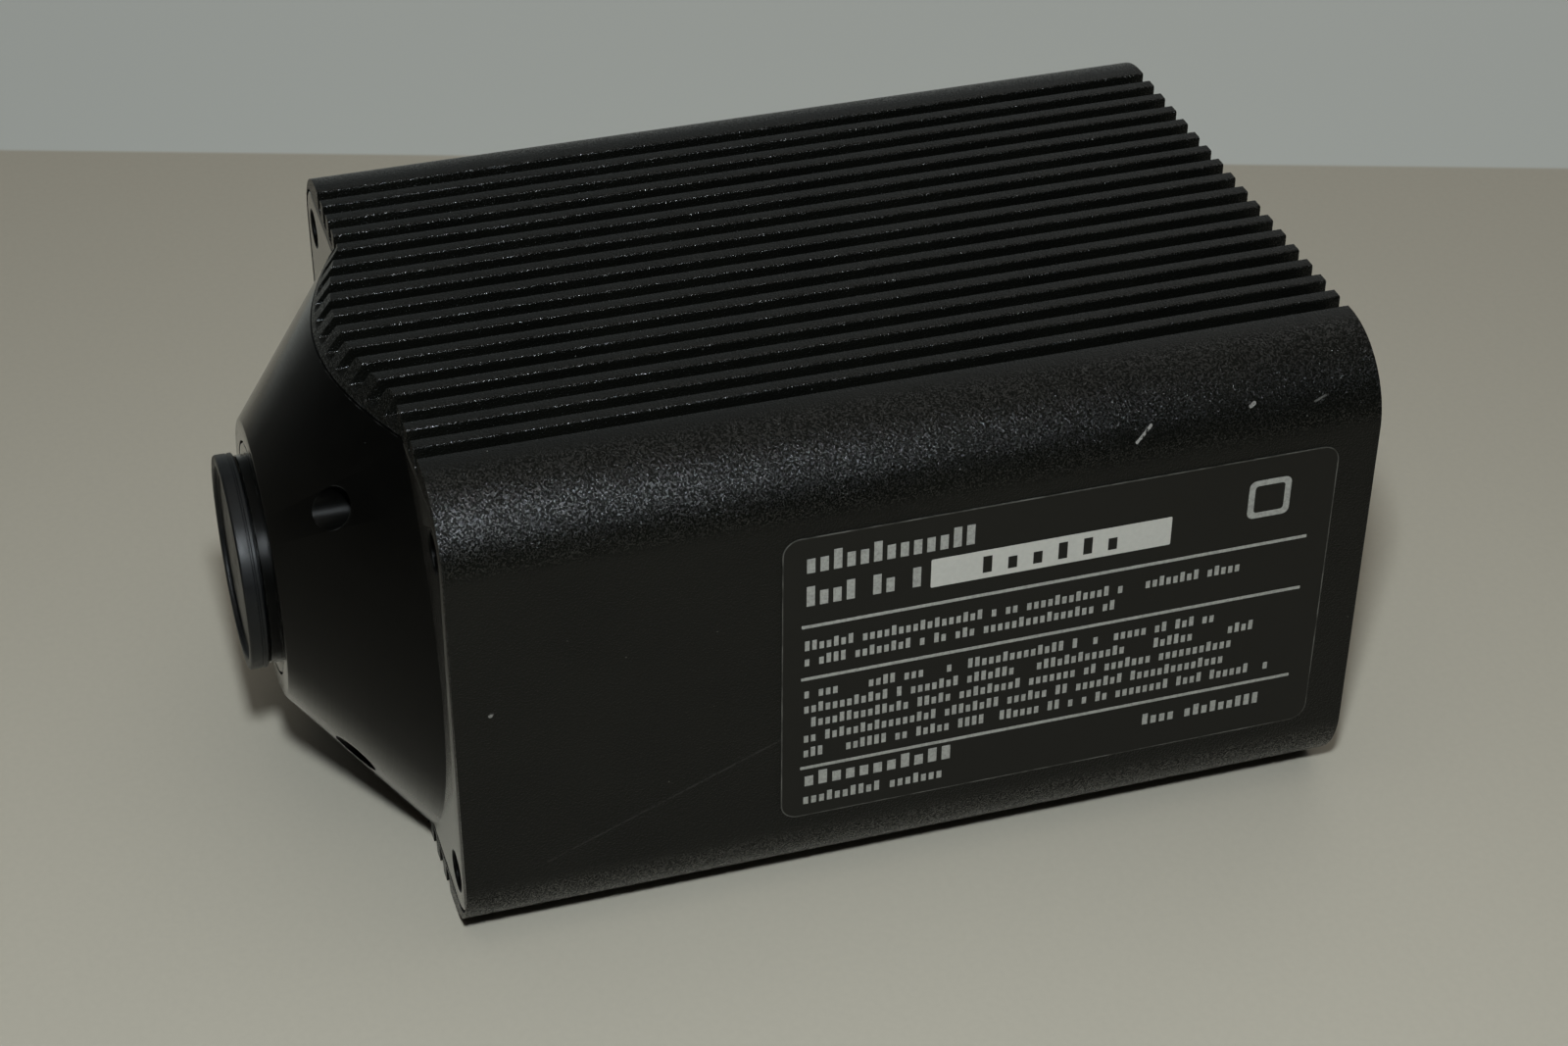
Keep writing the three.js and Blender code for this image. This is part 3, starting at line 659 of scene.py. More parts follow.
nose_screw_offset = 29.87 / math.sqrt(2)
nose = turned("nose_cone", [(0, -17.55), (19.8, -17.55), (20.05, -17.45), (41.8, 0), (41.8, 1.0), (0, 1.0)],
              256, wrap=False)
slab = rounded_plate("slab", 60, 33.05, 1, [(-30, 0), (5, 0)])
carve(nose, "INTERSECT", slab)
plate = rounded_plate("plate", 48.2, 33.05, 5.6, [(0, 0.35), (0.1, 0.12), (0.35, 0), (10, 0)], 12)
carve(nose, "UNION", plate)
tools = [turned("seat_bore", [(0, -20), (16.9, -20), (16.9, -10.5), (0, -10.5)], 128, wrap=False),
         turned("aperture", [(0, -12), (11, -12), (11, -6), (0, -6)], 96, wrap=False),
         turned("chamber_pocket", [(0, -7), (22, -7), (22, 11), (0, 11)], 96, wrap=False)]
for i, (sx, sz) in enumerate(corners):
    tools += [
        turned(f"ear_bore_{i}", [(0, -1), (3.9, -1), (2.9, 0.25), (2.9, 4), (1.8, 4), (1.8, 11), (0, 11)], 40,
               wrap=False,
               x=sx * screw_x, z=sz * screw_z),
        turned(f"nose_bore_{i}", [(0, -18), (2.9, -18), (2.9, 1.5), (1.8, 1.5), (1.8, 11), (0, 11)], 40,
               wrap=False,
               x=sx * nose_screw_offset * mm, z=sz * nose_screw_offset * mm)]
carve(nose, "DIFFERENCE", *tools)

# A turning tool leaves fine rings about the lens axis, at a spacing that drifts a little.
ring_tree, given = shader_group("turned_rings", ["Pitch", "Depth"],
                                {"Height": "NodeSocketFloat", "Streak": "NodeSocketFloat"})
place = put(ring_tree, "ShaderNodeMapping",
            {"Vector": object_coordinates(ring_tree), "Location": (0, 0, -axis_height)})
apart = put(ring_tree, "ShaderNodeSeparateXYZ", {"Vector": place.outputs[0]}).outputs
from_axis = calculate(ring_tree, "SQRT",
                      calculate(ring_tree, "ADD", calculate(ring_tree, "MULTIPLY", apart["X"], apart["X"]),
                                calculate(ring_tree, "MULTIPLY", apart["Z"], apart["Z"])))
along = calculate(ring_tree, "ADD", from_axis, apart["Y"])
wide = put(ring_tree, "ShaderNodeCombineXYZ", {"X": calculate(ring_tree, "DIVIDE", along, given["Pitch"]),
                                               "Y": calculate(ring_tree, "MULTIPLY", apart["X"], 12),
                                               "Z": calculate(ring_tree, "MULTIPLY", apart["Z"], 12)})
ring = noise(ring_tree, wide.outputs[0], 1.0, 2, 0.5)
put(ring_tree, "NodeGroupOutput",
    {"Height": calculate(ring_tree, "MULTIPLY", ring, given["Depth"]), "Streak": ring})

satin_black, tree, shader = new_material("turned_satin_black_anodise")
rings = use_group(tree, ring_tree, Pitch=0.00012, Depth=1.0)
wear = use_group(tree, wear_tree, Reach=0.00025, Amount=0.22)["Mask"]
dust = use_group(tree, dust_tree, Spacing=0.0040, Amount=0.20)["Mask"]
smudge = remap(tree, noise(tree, object_coordinates(tree), 90, 4, 0.6), 0.35, 0.65)
base = blend_colour(tree, smudge, (0.0016, 0.0016, 0.0014, 1), (0.0026, 0.0026, 0.0022, 1))
base = blend_colour(tree, wear, base, (0.20, 0.20, 0.19, 1))
base = blend_colour(tree, dust, base, (0.26, 0.26, 0.24, 1))
fill(tree, shader, {
    "Base Color": base,
    "Roughness": calculate(tree, "MULTIPLY_ADD", rings["Streak"], 0.12,
                           remap(tree, smudge, 0, 1, 0.26, 0.32)),
    "Normal": raise_surface(tree, rings["Height"], 0.25, 0.00002),
})
slant = put(tree, "ShaderNodeLayerWeight", {"Blend": 0.5}).outputs["Facing"]
fill(tree, shader, {
    "Coat Weight": remap(tree, slant, 0.58, 0.86, smooth=True),
    "Coat Roughness": 0.16,
    "Coat IOR": 1.5,
    "IOR": 1.18,
})
show(nose, "camera_body", "satin_black", satin_black, "nose_block")


# ---------------------------------------------------------------------------------------------
# The mount ring
# A turned ring screwed in the nose. A fine thread of 32 turns an inch is cut in its bore.
def threaded_wall(radius, start, end, pitch, depth, steps, rows_a_turn=8):
    """Loops of a screw thread between two places along the lens axis, in millimetres.
    The thread runs out over one turn at each end."""
    rows = round((end - start) / pitch * rows_a_turn)
    walls = []
    for row in range(rows + 1):
        y = start + (end - start) * row / rows
        fade = min(1.0, min(y - start, end - y) / pitch)
        loop = []
        for k in range(steps):
            phase = (y / pitch + k / steps) % 1.0
            crest = min(1.0, max(0.0, 1.5 - 4 * abs(phase - 0.5)))
            turn = 2 * math.pi * k / steps
            r = radius + depth * crest * fade
            loop.append((r * mm * math.sin(turn), ear_plane + y * mm, axis_height + r * mm * math.cos(turn)))
        walls.append(loop)
    return walls


def turned_loops(section, steps):
    """Loops about the lens axis for the [radius, y] points of a half section, in millimetres."""
    turns = [2 * math.pi * k / steps for k in range(steps)]
    return [[(max(r, 1e-7) * mm * math.sin(turn), ear_plane + y * mm,
              axis_height + max(r, 1e-7) * mm * math.cos(turn)) for turn in turns] for r, y in section]


ring_steps = 160
thread_pitch = 25.4 / 32
outside = [(12.7, -10.8), (16.6, -10.8), (16.6, -17.40), (16.45, -17.55), (15.25, -17.55), (15.1, -17.5),
           (15.0, -17.4),
           (15.0, -18.85), (14.85, -19.0), (13.2, -19.0), (12.7, -18.5)]
mount_ring = shell("lens_mount_ring", turned_loops(outside, ring_steps)
                   + threaded_wall(12.7, -18.45, -14.4, thread_pitch, 0.40, ring_steps), wrap=True,
                   sharp_angle=35)
show(mount_ring, "mount_ring", "satin_black", satin_black, "mount_ring")


# ---------------------------------------------------------------------------------------------
# The dust cap
# Moulded in black plastic: a raised rim round a recessed face, and a hollow spigot with a thread
# that screws in the mount ring.
cap_section = ([(0, -21.2), (6.0, -21.15), (13.0, -21.1)] + rounded_corner(13.5, -21.45, 0.35, 90, 0, 4)
               + rounded_corner(14.15, -21.6, 0.3, 180, 270, 4) + rounded_corner(15.1, -21.55, 0.35, 270, 360,
                                                                                 5)
               + [(15.45, -20.2), (15.32, -20.1), (15.32, -19.9), (15.45, -19.8), (15.45, -19.42),
                  (15.33, -19.3), (12.4, -19.3)])
cap_spigot = threaded_wall(12.4, -19.0, -15.0, thread_pitch, -0.30, ring_steps)
cap_inside = [(12.15, -14.5), (11.4, -14.5), (11.2, -14.7), (11.2, -18.9), (10.8, -19.3), (0, -19.3)]
dust_cap = shell("screw_in_dust_cap",
                 turned_loops(cap_section, ring_steps) + cap_spigot + turned_loops(cap_inside, ring_steps),
                 wrap=False, sharp_angle=35)
moulded_black, tree, shader = new_material("moulded_black_plastic")
place = object_coordinates(tree)
dust = use_group(tree, dust_tree, Spacing=0.0022, Amount=0.30)["Mask"]
scuff = remap(tree, noise(tree, place, 260, 5, 0.7), 0.45, 0.70)
base = blend_colour(tree, scuff, (0.0060, 0.0066, 0.0070, 1), (0.0100, 0.0106, 0.0110, 1))
base = blend_colour(tree, dust, base, (0.28, 0.28, 0.26, 1))
fill(tree, shader, {
    "Base Color": base,
    "Roughness": remap(tree, scuff, 0, 1, 0.38, 0.55),
    "Normal": raise_surface(tree, noise(tree, place, 2600, 3, 0.6), 0.20, 0.00004),
    "IOR": 1.34,
})
show(dust_cap, "dust_cap", "black_plastic", moulded_black, "dust_cap")


# ---------------------------------------------------------------------------------------------
# The screws in the nose
# Socket-head cap screws in black oxide, one in each ear and one at each 45 degrees of the cone.
def screw_tree(name):
    """A tree that puts one screw at each corner of a rectangle."""
    tree, given = shape_tree(name, {"Width": "NodeSocketFloat", "Height": "NodeSocketFloat",
                                    "Seat": "NodeSocketFloat",
                                    "Shank Length": "NodeSocketFloat"})
    return tree, given


def at_corners(tree, given, solid):
    """The solid at the four corners of the tree's rectangle."""
    spots = put(tree, "GeometryNodeCurvePrimitiveQuadrilateral",
                {"Width": given["Width"], "Height": given["Height"]})
    upright = put(tree, "GeometryNodeTransform",
                  {"Geometry": spots.outputs[0], "Rotation": (math.pi / 2, 0, 0)})
    seat = put(tree, "ShaderNodeCombineXYZ", {"Y": given["Seat"], "Z": axis_height})
    moved = put(tree, "GeometryNodeTransform",
                {"Geometry": upright.outputs[0], "Translation": seat.outputs[0]})
    return put(tree, "GeometryNodeInstanceOnPoints",
               {"Points": moved.outputs[0], "Instance": solid}).outputs[0]


def bar_on_axis(tree, radius, start, length, steps, far_radius=None):
    """A bar or cone along +Y at the origin of the tree."""
    bar = put(tree, "GeometryNodeMeshCone", {"Vertices": steps, "Radius Bottom": radius, "Depth": length,
                                             "Radius Top": radius if far_radius is None else far_radius})
    shift = put(tree, "ShaderNodeCombineXYZ", {"Y": start})
    return put(tree, "GeometryNodeTransform", {"Geometry": bar.outputs[0], "Rotation": (-math.pi / 2, 0, 0),
                                               "Translation": shift.outputs[0]}).outputs[0]


tree, given = screw_tree("cap_screws")
head = cut(tree, "UNION", bar_on_axis(tree, 2.45 * mm, 0.0, 0.3 * mm, 36, 2.75 * mm),
           bar_on_axis(tree, 2.75 * mm, 0.3 * mm, 2.7 * mm, 36),
           bar_on_axis(tree, 1.5 * mm, 2.5 * mm, calculate(tree, "ADD", given["Shank Length"], 0.5 * mm), 20))
socket = cut(tree, "DIFFERENCE", head, bar_on_axis(tree, 1.45 * mm, -0.5 * mm, 2.5 * mm, 6),
             bar_on_axis(tree, 1.75 * mm, -0.1 * mm, 0.4 * mm, 24, 1.35 * mm))
close_tree(tree, at_corners(tree, given, socket), given["Finish"])

black_oxide, tree, shader = new_material("black_oxide_steel")
place = object_coordinates(tree)
stain = remap(tree, noise(tree, place, 900, 4, 0.6), 0.4, 0.65)
wear = use_group(tree, wear_tree, Reach=0.00015, Amount=0.8)["Mask"]
base = blend_colour(tree, stain, (0.020, 0.020, 0.021, 1), (0.045, 0.044, 0.043, 1))
fill(tree, shader, {
    "Base Color": blend_colour(tree, wear, base, (0.40, 0.40, 0.39, 1)),
    "Roughness": remap(tree, stain, 0, 1, 0.25, 0.42),
    "Normal": raise_surface(tree, noise(tree, place, 3500, 2), 0.2, 0.00003),
    "Metallic": 0.85,
})

seats = {"ear": (2 * screw_x, 2 * screw_z, ear_plane + 0.85 * mm, 16 * mm),
         "nose": (2 * nose_screw_offset * mm, 2 * nose_screw_offset * mm, ear_plane - 1.65 * mm, 12.5 * mm)}
for where, (width, tall, seat, shank) in seats.items():
    screws = grow(f"{where}_cap_screws", bpy.data.node_groups["cap_screws"],
                  {"Width": width, "Height": tall, "Seat": seat, "Shank Length": shank,
                   "Finish": black_oxide})
    show(screws, "camera_body", "black_steel", black_oxide, *[f"{where}_screw_{i}" for i in range(1, 5)])


# ---------------------------------------------------------------------------------------------
# The label
# A black polyester film that lies on the side, with white printing and a pale sticker. The
# printing is blank blocks, rules and one plain rounded square.
film_face = half_width + 0.11 * mm


def rounded_patch(name, low_y, high_y, low_z, high_z, radius, back, face, edge=0.0, steps=5):
    """A thin patch with round corners that faces +X, with an edge that slopes in towards its face."""
    loops = []
    for x, inset in ((back, 0.0), (face - edge, 0.0), (face, edge)):
        loop = []
        for quarter, (sy, sz) in enumerate(corners):
            cy = (high_y - radius) if sy > 0 else (low_y + radius)
            cz = (high_z - radius) if sz > 0 else (low_z + radius)
            for k in range(steps + 1):
                turn = math.radians(90 * quarter + 90 * k / steps)
                loop.append((x, cy + (radius - inset) * math.cos(turn),
                             cz + (radius - inset) * math.sin(turn)))
        loops.append(loop)
    return shell(name, loops)


film = rounded_patch("label_film", label_low.y, label_high.y, label_low.z, label_high.z, 2.5 * mm,
                     half_width - 0.02 * mm, film_face, 0.05 * mm, 10)
label_black, tree, shader = new_material("black_polyester_film")
place = object_coordinates(tree)
dust = use_group(tree, dust_tree, Spacing=0.0050, Amount=0.18)["Mask"]
handled = remap(tree, noise(tree, place, 60, 4, 0.6), 0.35, 0.65)
base = blend_colour(tree, handled, (0.0020, 0.0021, 0.0014, 1), (0.0028, 0.0029, 0.0020, 1))
fill(tree, shader, {
    "Base Color": blend_colour(tree, dust, base, (0.28, 0.28, 0.26, 1)),
    "Roughness": remap(tree, handled, 0, 1, 0.36, 0.44),
    "Normal": raise_surface(tree, noise(tree, place, 900, 2), 0.12, 0.00004),
    "IOR": 1.38,
})
show(film, "camera_body", "label_film", label_black, "label_plate")

white_ink, tree, shader = new_material("white_label_ink")
place = object_coordinates(tree)
thin = remap(tree, noise(tree, place, 2600, 3, 0.6), 0.30, 0.60)
fill(tree, shader, {
    "Base Color": blend_colour(tree, thin, (0.26, 0.26, 0.24, 1), (0.40, 0.40, 0.37, 1)),
    "Roughness": 0.5,
})
paper_white, tree, shader = new_material("white_paper_sticker")
fibre = noise(tree, object_coordinates(tree), 1500, 4, 0.6)
fill(tree, shader, {
    "Base Color": blend_colour(tree, fibre, (0.50, 0.49, 0.45, 1), (0.60, 0.59, 0.54, 1)),
    "Roughness": 0.6,
})

# Each printed line is a row of small blank blocks in groups, as long and as tall as the words on
# such a label. Gaps and heights are drawn at random from the row's own seed.
ink_face = film_face + 0.025 * mm
label_start = label_low.y - 44.7 * mm
label_axis = axis_height
tree, given = shape_tree("printed_row", {
    "Start": "NodeSocketFloat", "Length": "NodeSocketFloat", "Height": "NodeSocketFloat",
    "Base": "NodeSocketFloat",
    "Block Pitch": "NodeSocketFloat", "Fill": "NodeSocketFloat", "Face": "NodeSocketFloat",
    "Seed": "NodeSocketInt",
    "Gap Share": "NodeSocketFloat"})
count = calculate(tree, "FLOOR", calculate(tree, "DIVIDE", given["Length"], given["Block Pitch"]))
first = put(tree, "ShaderNodeCombineXYZ", {"X": calculate(tree, "SUBTRACT", given["Face"], 0.02 * mm),
                                           "Y": calculate(tree, "MULTIPLY_ADD", given["Block Pitch"], 0.5,
                                                          given["Start"]),
                                           "Z": given["Base"]})
onward = put(tree, "ShaderNodeCombineXYZ", {"Y": given["Block Pitch"]})
spots = put(tree, "GeometryNodeMeshLine",
            {"Count": count, "Start Location": first.outputs[0], "Offset": onward.outputs[0]})
draw = put(tree, "FunctionNodeRandomValue", {"Seed": given["Seed"]}, data_type="FLOAT").outputs[1]
blank = calculate(tree, "LESS_THAN", draw, given["Gap Share"])
words = put(tree, "GeometryNodeDeleteGeometry", {"Geometry": spots.outputs[0], "Selection": blank},
            domain="POINT")
block_size = put(tree, "ShaderNodeCombineXYZ",
                 {"X": 0.04 * mm, "Y": calculate(tree, "MULTIPLY", given["Block Pitch"], given["Fill"]),
                  "Z": given["Height"]})
block = put(tree, "GeometryNodeMeshCube", {"Size": block_size.outputs[0]})
lift = put(tree, "ShaderNodeCombineXYZ", {"Z": calculate(tree, "MULTIPLY", given["Height"], 0.5)})
raised = put(tree, "GeometryNodeTransform", {"Geometry": block.outputs[0], "Translation": lift.outputs[0]})
tall_draw = put(tree, "FunctionNodeRandomValue", {"Seed": calculate(tree, "ADD", given["Seed"], 100)},
                data_type="FLOAT").outputs[1]
tall = remap(tree, calculate(tree, "GREATER_THAN", tall_draw, 0.62), 0, 1, 0.72, 1.0)
block_scale = put(tree, "ShaderNodeCombineXYZ", {"X": 1.0, "Y": 1.0, "Z": tall})
blocks = put(tree, "GeometryNodeInstanceOnPoints", {"Points": words.outputs[0], "Instance": raised.outputs[0],
                                                    "Scale": block_scale.outputs[0]})
close_tree(tree, blocks.outputs[0], given["Finish"])


def print_row(start, end, low, high, pitch, seed, gap_share=0.17, fill=0.62, ink_finish=None):
    """A row of blocks from a start to an end along the label, between two heights, in millimetres."""
    return grow("row", bpy.data.node_groups["printed_row"], {
        "Start": label_start + start * mm, "Length": (end - start) * mm, "Base": label_axis + low * mm,
        "Height": (high - low) * mm,
        "Block Pitch": pitch * mm, "Fill": fill, "Face": ink_face, "Seed": seed, "Gap Share": gap_share,
        "Finish": ink_finish or white_ink})


def join(name, pieces):
    """Several pieces as one mesh."""
    work = bmesh.new()
    for piece in pieces:
        work.from_mesh(piece.data)
        bpy.data.objects.remove(piece)
    mesh = bpy.data.meshes.new(name)
    work.to_mesh(mesh)
    work.free()
    made = bpy.data.objects.new(name, mesh)
    scene.collection.objects.link(made)
    return made


ink = [print_row(47.7, 72.7, 18.0, 21.2, 1.85, 3), print_row(47.7, 64.7, 12.6, 15.8, 1.85, 6)]
for row, (base, end) in enumerate(((5.2, 111.2), (2.6, 93.3), (-2.9, 108.5), (-5.5, 114.7), (-8.0, 111.2),
                                   (-10.6, 110.0),
                                   (-13.2, 117.2))):
    ink.append(print_row(47.7, end, base, base + 1.6, 1.02, 11 + row))
ink += [print_row(47.7, 71.2, -18.4, -16.0, 2.0, 21, 0.0), print_row(47.7, 69.3, -21.6, -19.9, 1.15, 22),
        print_row(98.0, 117.3, -19.2, -17.3, 1.3, 23)]
for middle in (9.2, 0.4, -15.1):
    ink.append(rounded_patch("rule", label_start + 47.4 * mm, label_start + 120.5 * mm,
                             label_axis + (middle - 0.25) * mm,
                             label_axis + (middle + 0.25) * mm, 0.1 * mm, film_face - 0.02 * mm, ink_face,
                             0.0, 2))
frame_mark = rounded_patch("mark", label_start + 111.0 * mm, label_start + 117.2 * mm, label_axis + 13.8 * mm,
                           label_axis + 20.0 * mm, 1.0 * mm, film_face - 0.02 * mm, ink_face, 0.0, 4)
carve(frame_mark, "DIFFERENCE",
      rounded_patch("mark_middle", label_start + 111.9 * mm, label_start + 116.3 * mm,
                    label_axis + 14.7 * mm, label_axis + 19.1 * mm, 0.5 * mm,
                    film_face - mm, film_face + mm, 0.0, 4))
ink.append(frame_mark)
printing = join("label_printing", ink)
sticker = rounded_patch("number_sticker", label_start + 65.4 * mm, label_start + 99.9 * mm,
                        label_axis + 12.0 * mm,
                        label_axis + 16.6 * mm, 0.2 * mm, film_face - 0.02 * mm, film_face + 0.02 * mm, 0.0,
                        2)
show(sticker, "camera_body", "label_film", paper_white)
show(print_row(71.6, 93.4, 12.9, 15.6, 3.6, 40, 0.0, 0.36, label_black), "camera_body", "label_film",
     label_black)
cut_edge, tree, shader = new_material("bare_cut_film_edge")
shine = remap(tree, noise(tree, object_coordinates(tree), 260, 3, 0.6), 0.35, 0.62)
fill(tree, shader, {
    "Base Color": blend_colour(tree, shine, (0.012, 0.012, 0.010, 1), (0.10, 0.10, 0.09, 1)),
    "Roughness": 0.4,
})
edge_low, edge_high = label_low - Vector((0, 0.02, 0.02)) * mm, label_high + Vector((0, 0.02, 0.02)) * mm
edge_line = rounded_patch("label_edge", edge_low.y, edge_high.y, edge_low.z, edge_high.z, 2.5 * mm,
                          half_width - 0.01 * mm, film_face + 0.006 * mm, 0.0, 10)
carve(edge_line, "DIFFERENCE",
      rounded_patch("label_edge_middle", edge_low.y + 0.16 * mm, edge_high.y - 0.16 * mm,
                    edge_low.z + 0.16 * mm, edge_high.z - 0.16 * mm, 2.34 * mm,
                    half_width - mm, half_width + mm, 0.0, 10))
show(edge_line, "camera_body", "label_film", cut_edge)
show(printing, "camera_body", "label_film", white_ink)


# ---------------------------------------------------------------------------------------------
# The rear panel
# An aluminium plate in the rear of the housing, with openings for two sockets and a lamp.
panel_front, panel_face = 126.7, 129.7
panel = rounded_plate("rear_cover", 46, 32, 4.7, [(panel_front, 0), (panel_face - 0.3, 0), (panel_face, 0.3)],
                      10)
data_x, power_x, lamp_x, lamp_z = -14.0, 26.0, 26.0, 17.0
jack_offset = 23.5


def socket_plate(name, half_wide, half_tall, lean, radius, start, end):
    """A solid with the D-shaped outline of a data socket, in millimetres."""
    spots = ((half_wide, half_tall), (-half_wide, half_tall), (-half_wide + lean, -half_tall),
             (half_wide - lean, -half_tall))
    loops = []
    for y in (start, end):
        loop = []
        for i, spot in enumerate(spots):
            spot, before, after = Vector(spot), Vector(spots[i - 1]), Vector(spots[(i + 1) % 4])
            first, last = (before - spot).normalized() * radius, (after - spot).normalized() * radius
            for k in range(7):
                t = k / 6
                p = spot + first * (1 - t) ** 2 + last * t ** 2
                loop.append(((data_x + p.x) * mm, ear_plane + y * mm, axis_height + p.y * mm))
        loops.append(loop)
    return shell(name, loops)


tools = [socket_plate("socket_opening", 19.8, 5.0, 2.0, 1.6, panel_front - 1, panel_face + 1),
         turned("power_opening", [(0, 125), (6.3, 125), (6.3, 131), (0, 131)], 64, wrap=False,
                x=power_x * mm),
         turned("lamp_opening", [(0, 125), (1.9, 125), (1.9, 131), (0, 131)], 32, wrap=False, x=lamp_x * mm,
                z=lamp_z * mm)]
for i, (x, z) in enumerate([(data_x - jack_offset, 0), (data_x + jack_offset, 0)]
                           + [(sx * screw_x / mm, sz * screw_z / mm) for sx, sz in corners]):
    tools.append(turned(f"panel_hole_{i}", [(0, 125), (1.8, 125), (1.8, 131), (0, 131)], 32, wrap=False,
                        x=x * mm, z=z * mm))
carve(panel, "DIFFERENCE", *tools)
panel_black, tree, shader = new_material("brushed_black_panel")
place = object_coordinates(tree)
brushed = put(tree, "ShaderNodeMapping", {"Vector": place, "Scale": (60, 60, 5200)}).outputs[0]
strokes = noise(tree, brushed, 1.0, 3, 0.6)
wear = use_group(tree, wear_tree, Reach=0.00025, Amount=0.6)["Mask"]
dust = use_group(tree, dust_tree, Spacing=0.0040, Amount=0.20)["Mask"]
base = blend_colour(tree, remap(tree, strokes, 0.3, 0.7), (0.0075, 0.0075, 0.0075, 1),
                    (0.0125, 0.0125, 0.0122, 1))
base = blend_colour(tree, wear, base, (0.20, 0.20, 0.19, 1))
fill(tree, shader, {
    "Base Color": blend_colour(tree, dust, base, (0.26, 0.26, 0.24, 1)),
    "Roughness": remap(tree, strokes, 0.3, 0.7, 0.30, 0.42),
    "Normal": raise_surface(tree, strokes, 0.2, 0.00004),
})
show(panel, "camera_body", "satin_black", panel_black, "rear_panel")


# ---------------------------------------------------------------------------------------------
# The rear screws
# Button-head screws in black oxide, one at each corner of the rear panel.
tree, given = screw_tree("button_screws")
head = cut(tree, "UNION", bar_on_axis(tree, 2.75 * mm, 0.3 * mm, 0.5 * mm, 36, 2.72 * mm),
           bar_on_axis(tree, 2.72 * mm, 0.78 * mm, 0.45 * mm, 36, 2.40 * mm),
           bar_on_axis(tree, 2.40 * mm, 1.21 * mm, 0.40 * mm, 36, 1.85 * mm),
           bar_on_axis(tree, 1.85 * mm, 1.59 * mm, 0.41 * mm, 36, 1.55 * mm),
           bar_on_axis(tree, 1.5 * mm, calculate(tree, "MULTIPLY", given["Shank Length"], -1),
                       calculate(tree, "ADD", given["Shank Length"], 0.5 * mm), 20))
socket = cut(tree, "DIFFERENCE", head, bar_on_axis(tree, 1.15 * mm, 0.9 * mm, 2.0 * mm, 6))
close_tree(tree, at_corners(tree, given, socket), given["Finish"])
rear_screws = grow("rear_button_screws", tree, {"Width": 2 * screw_x, "Height": 2 * screw_z, "Seat": rear_end,
                                                "Shank Length": 13 * mm, "Finish": black_oxide})
show(rear_screws, "camera_body", "black_steel", black_oxide, *[f"rear_screw_{i}" for i in range(1, 5)])


# ---------------------------------------------------------------------------------------------
# The data socket
# A nickel-plated shield round a black insert with two rows of gold pins, and two hexagonal jack
# screws that hold its plug.
socket_start, socket_end = 118.7, 135.7
shield = socket_plate("data_socket_shield", 19.5, 4.7, 2.0, 1.5, socket_start, socket_end)
carve(shield, "DIFFERENCE", socket_plate("inside", 19.0, 4.2, 1.95, 1.1, socket_start - 1, socket_end + 1))
nickel = grained("nickel_plate", (300, 4, 0.6), ((0.50, 0.48, 0.44), (0.62, 0.60, 0.56)), (0.20, 0.34),
                 bump=(0.1, 0.00003), bump_grain=(1800, 2), Metallic=1.0)
show(shield, "camera_body", "nickel", nickel, "data_socket_shell")

insert = socket_plate("data_socket_insert_block", 18.7, 3.9, 1.9, 0.9, 115.7, 130.2)
show(insert, "camera_body", "black_plastic", moulded_black, "data_socket_insert")

tree, given = shape_tree("socket_pins", {"Long Row": "NodeSocketInt", "Pitch": "NodeSocketFloat",
                                         "Row Gap": "NodeSocketFloat",
                                         "Pin Radius": "NodeSocketFloat", "Reach": "NodeSocketFloat"})
pin = cut(tree, "UNION", bar_on_axis(tree, given["Pin Radius"], -1 * mm,
                                     calculate(tree, "ADD", given["Reach"], 0.7 * mm), 12),
          bar_on_axis(tree, given["Pin Radius"], calculate(tree, "SUBTRACT", given["Reach"], 0.31 * mm),
                      0.3 * mm, 12, 0.2 * mm))
rows = put(tree, "GeometryNodeJoinGeometry")
for half_turn, fewer in ((0.5, 0), (-0.5, 1)):
    count = calculate(tree, "SUBTRACT", given["Long Row"], fewer)
    length = calculate(tree, "MULTIPLY", calculate(tree, "SUBTRACT", count, 1), given["Pitch"])
    start = put(tree, "ShaderNodeCombineXYZ", {
        "X": calculate(tree, "MULTIPLY_ADD", length, -0.5, data_x * mm), "Y": ear_plane + 130.2 * mm,
        "Z": calculate(tree, "MULTIPLY_ADD", given["Row Gap"], half_turn, axis_height)})
    offset = put(tree, "ShaderNodeCombineXYZ", {"X": given["Pitch"]})
    spots = put(tree, "GeometryNodeMeshLine",
                {"Count": count, "Start Location": start.outputs[0], "Offset": offset.outputs[0]})
    pins = put(tree, "GeometryNodeInstanceOnPoints", {"Points": spots.outputs[0], "Instance": pin})
    tree.links.new(pins.outputs[0], rows.inputs[0])
close_tree(tree, rows.outputs[0], given["Finish"])
gold = grained("gold_plated_pins", (1200, 3, 0.6), ((0.80, 0.56, 0.22), (0.90, 0.68, 0.32)), (0.18, 0.30),
               Metallic=1.0)
pins = grow("data_socket_pins", bpy.data.node_groups["socket_pins"], {
    "Long Row": 13, "Pitch": 2.54 * mm, "Row Gap": 2.84 * mm, "Pin Radius": 0.45 * mm, "Reach": 3.9 * mm,
    "Finish": gold})
show(pins, "camera_body", "brass", gold)


def regular_loop(radius, y, sides, x=0.0, z=0.0, turn=0.0):
    """The corners of a regular outline round an axis along Y, in millimetres."""
    turns = [2 * math.pi * k / sides + turn for k in range(sides)]
    return [((x + radius * math.sin(angle)) * mm, ear_plane + y * mm,
             axis_height + (z + radius * math.cos(angle)) * mm) for angle in turns]


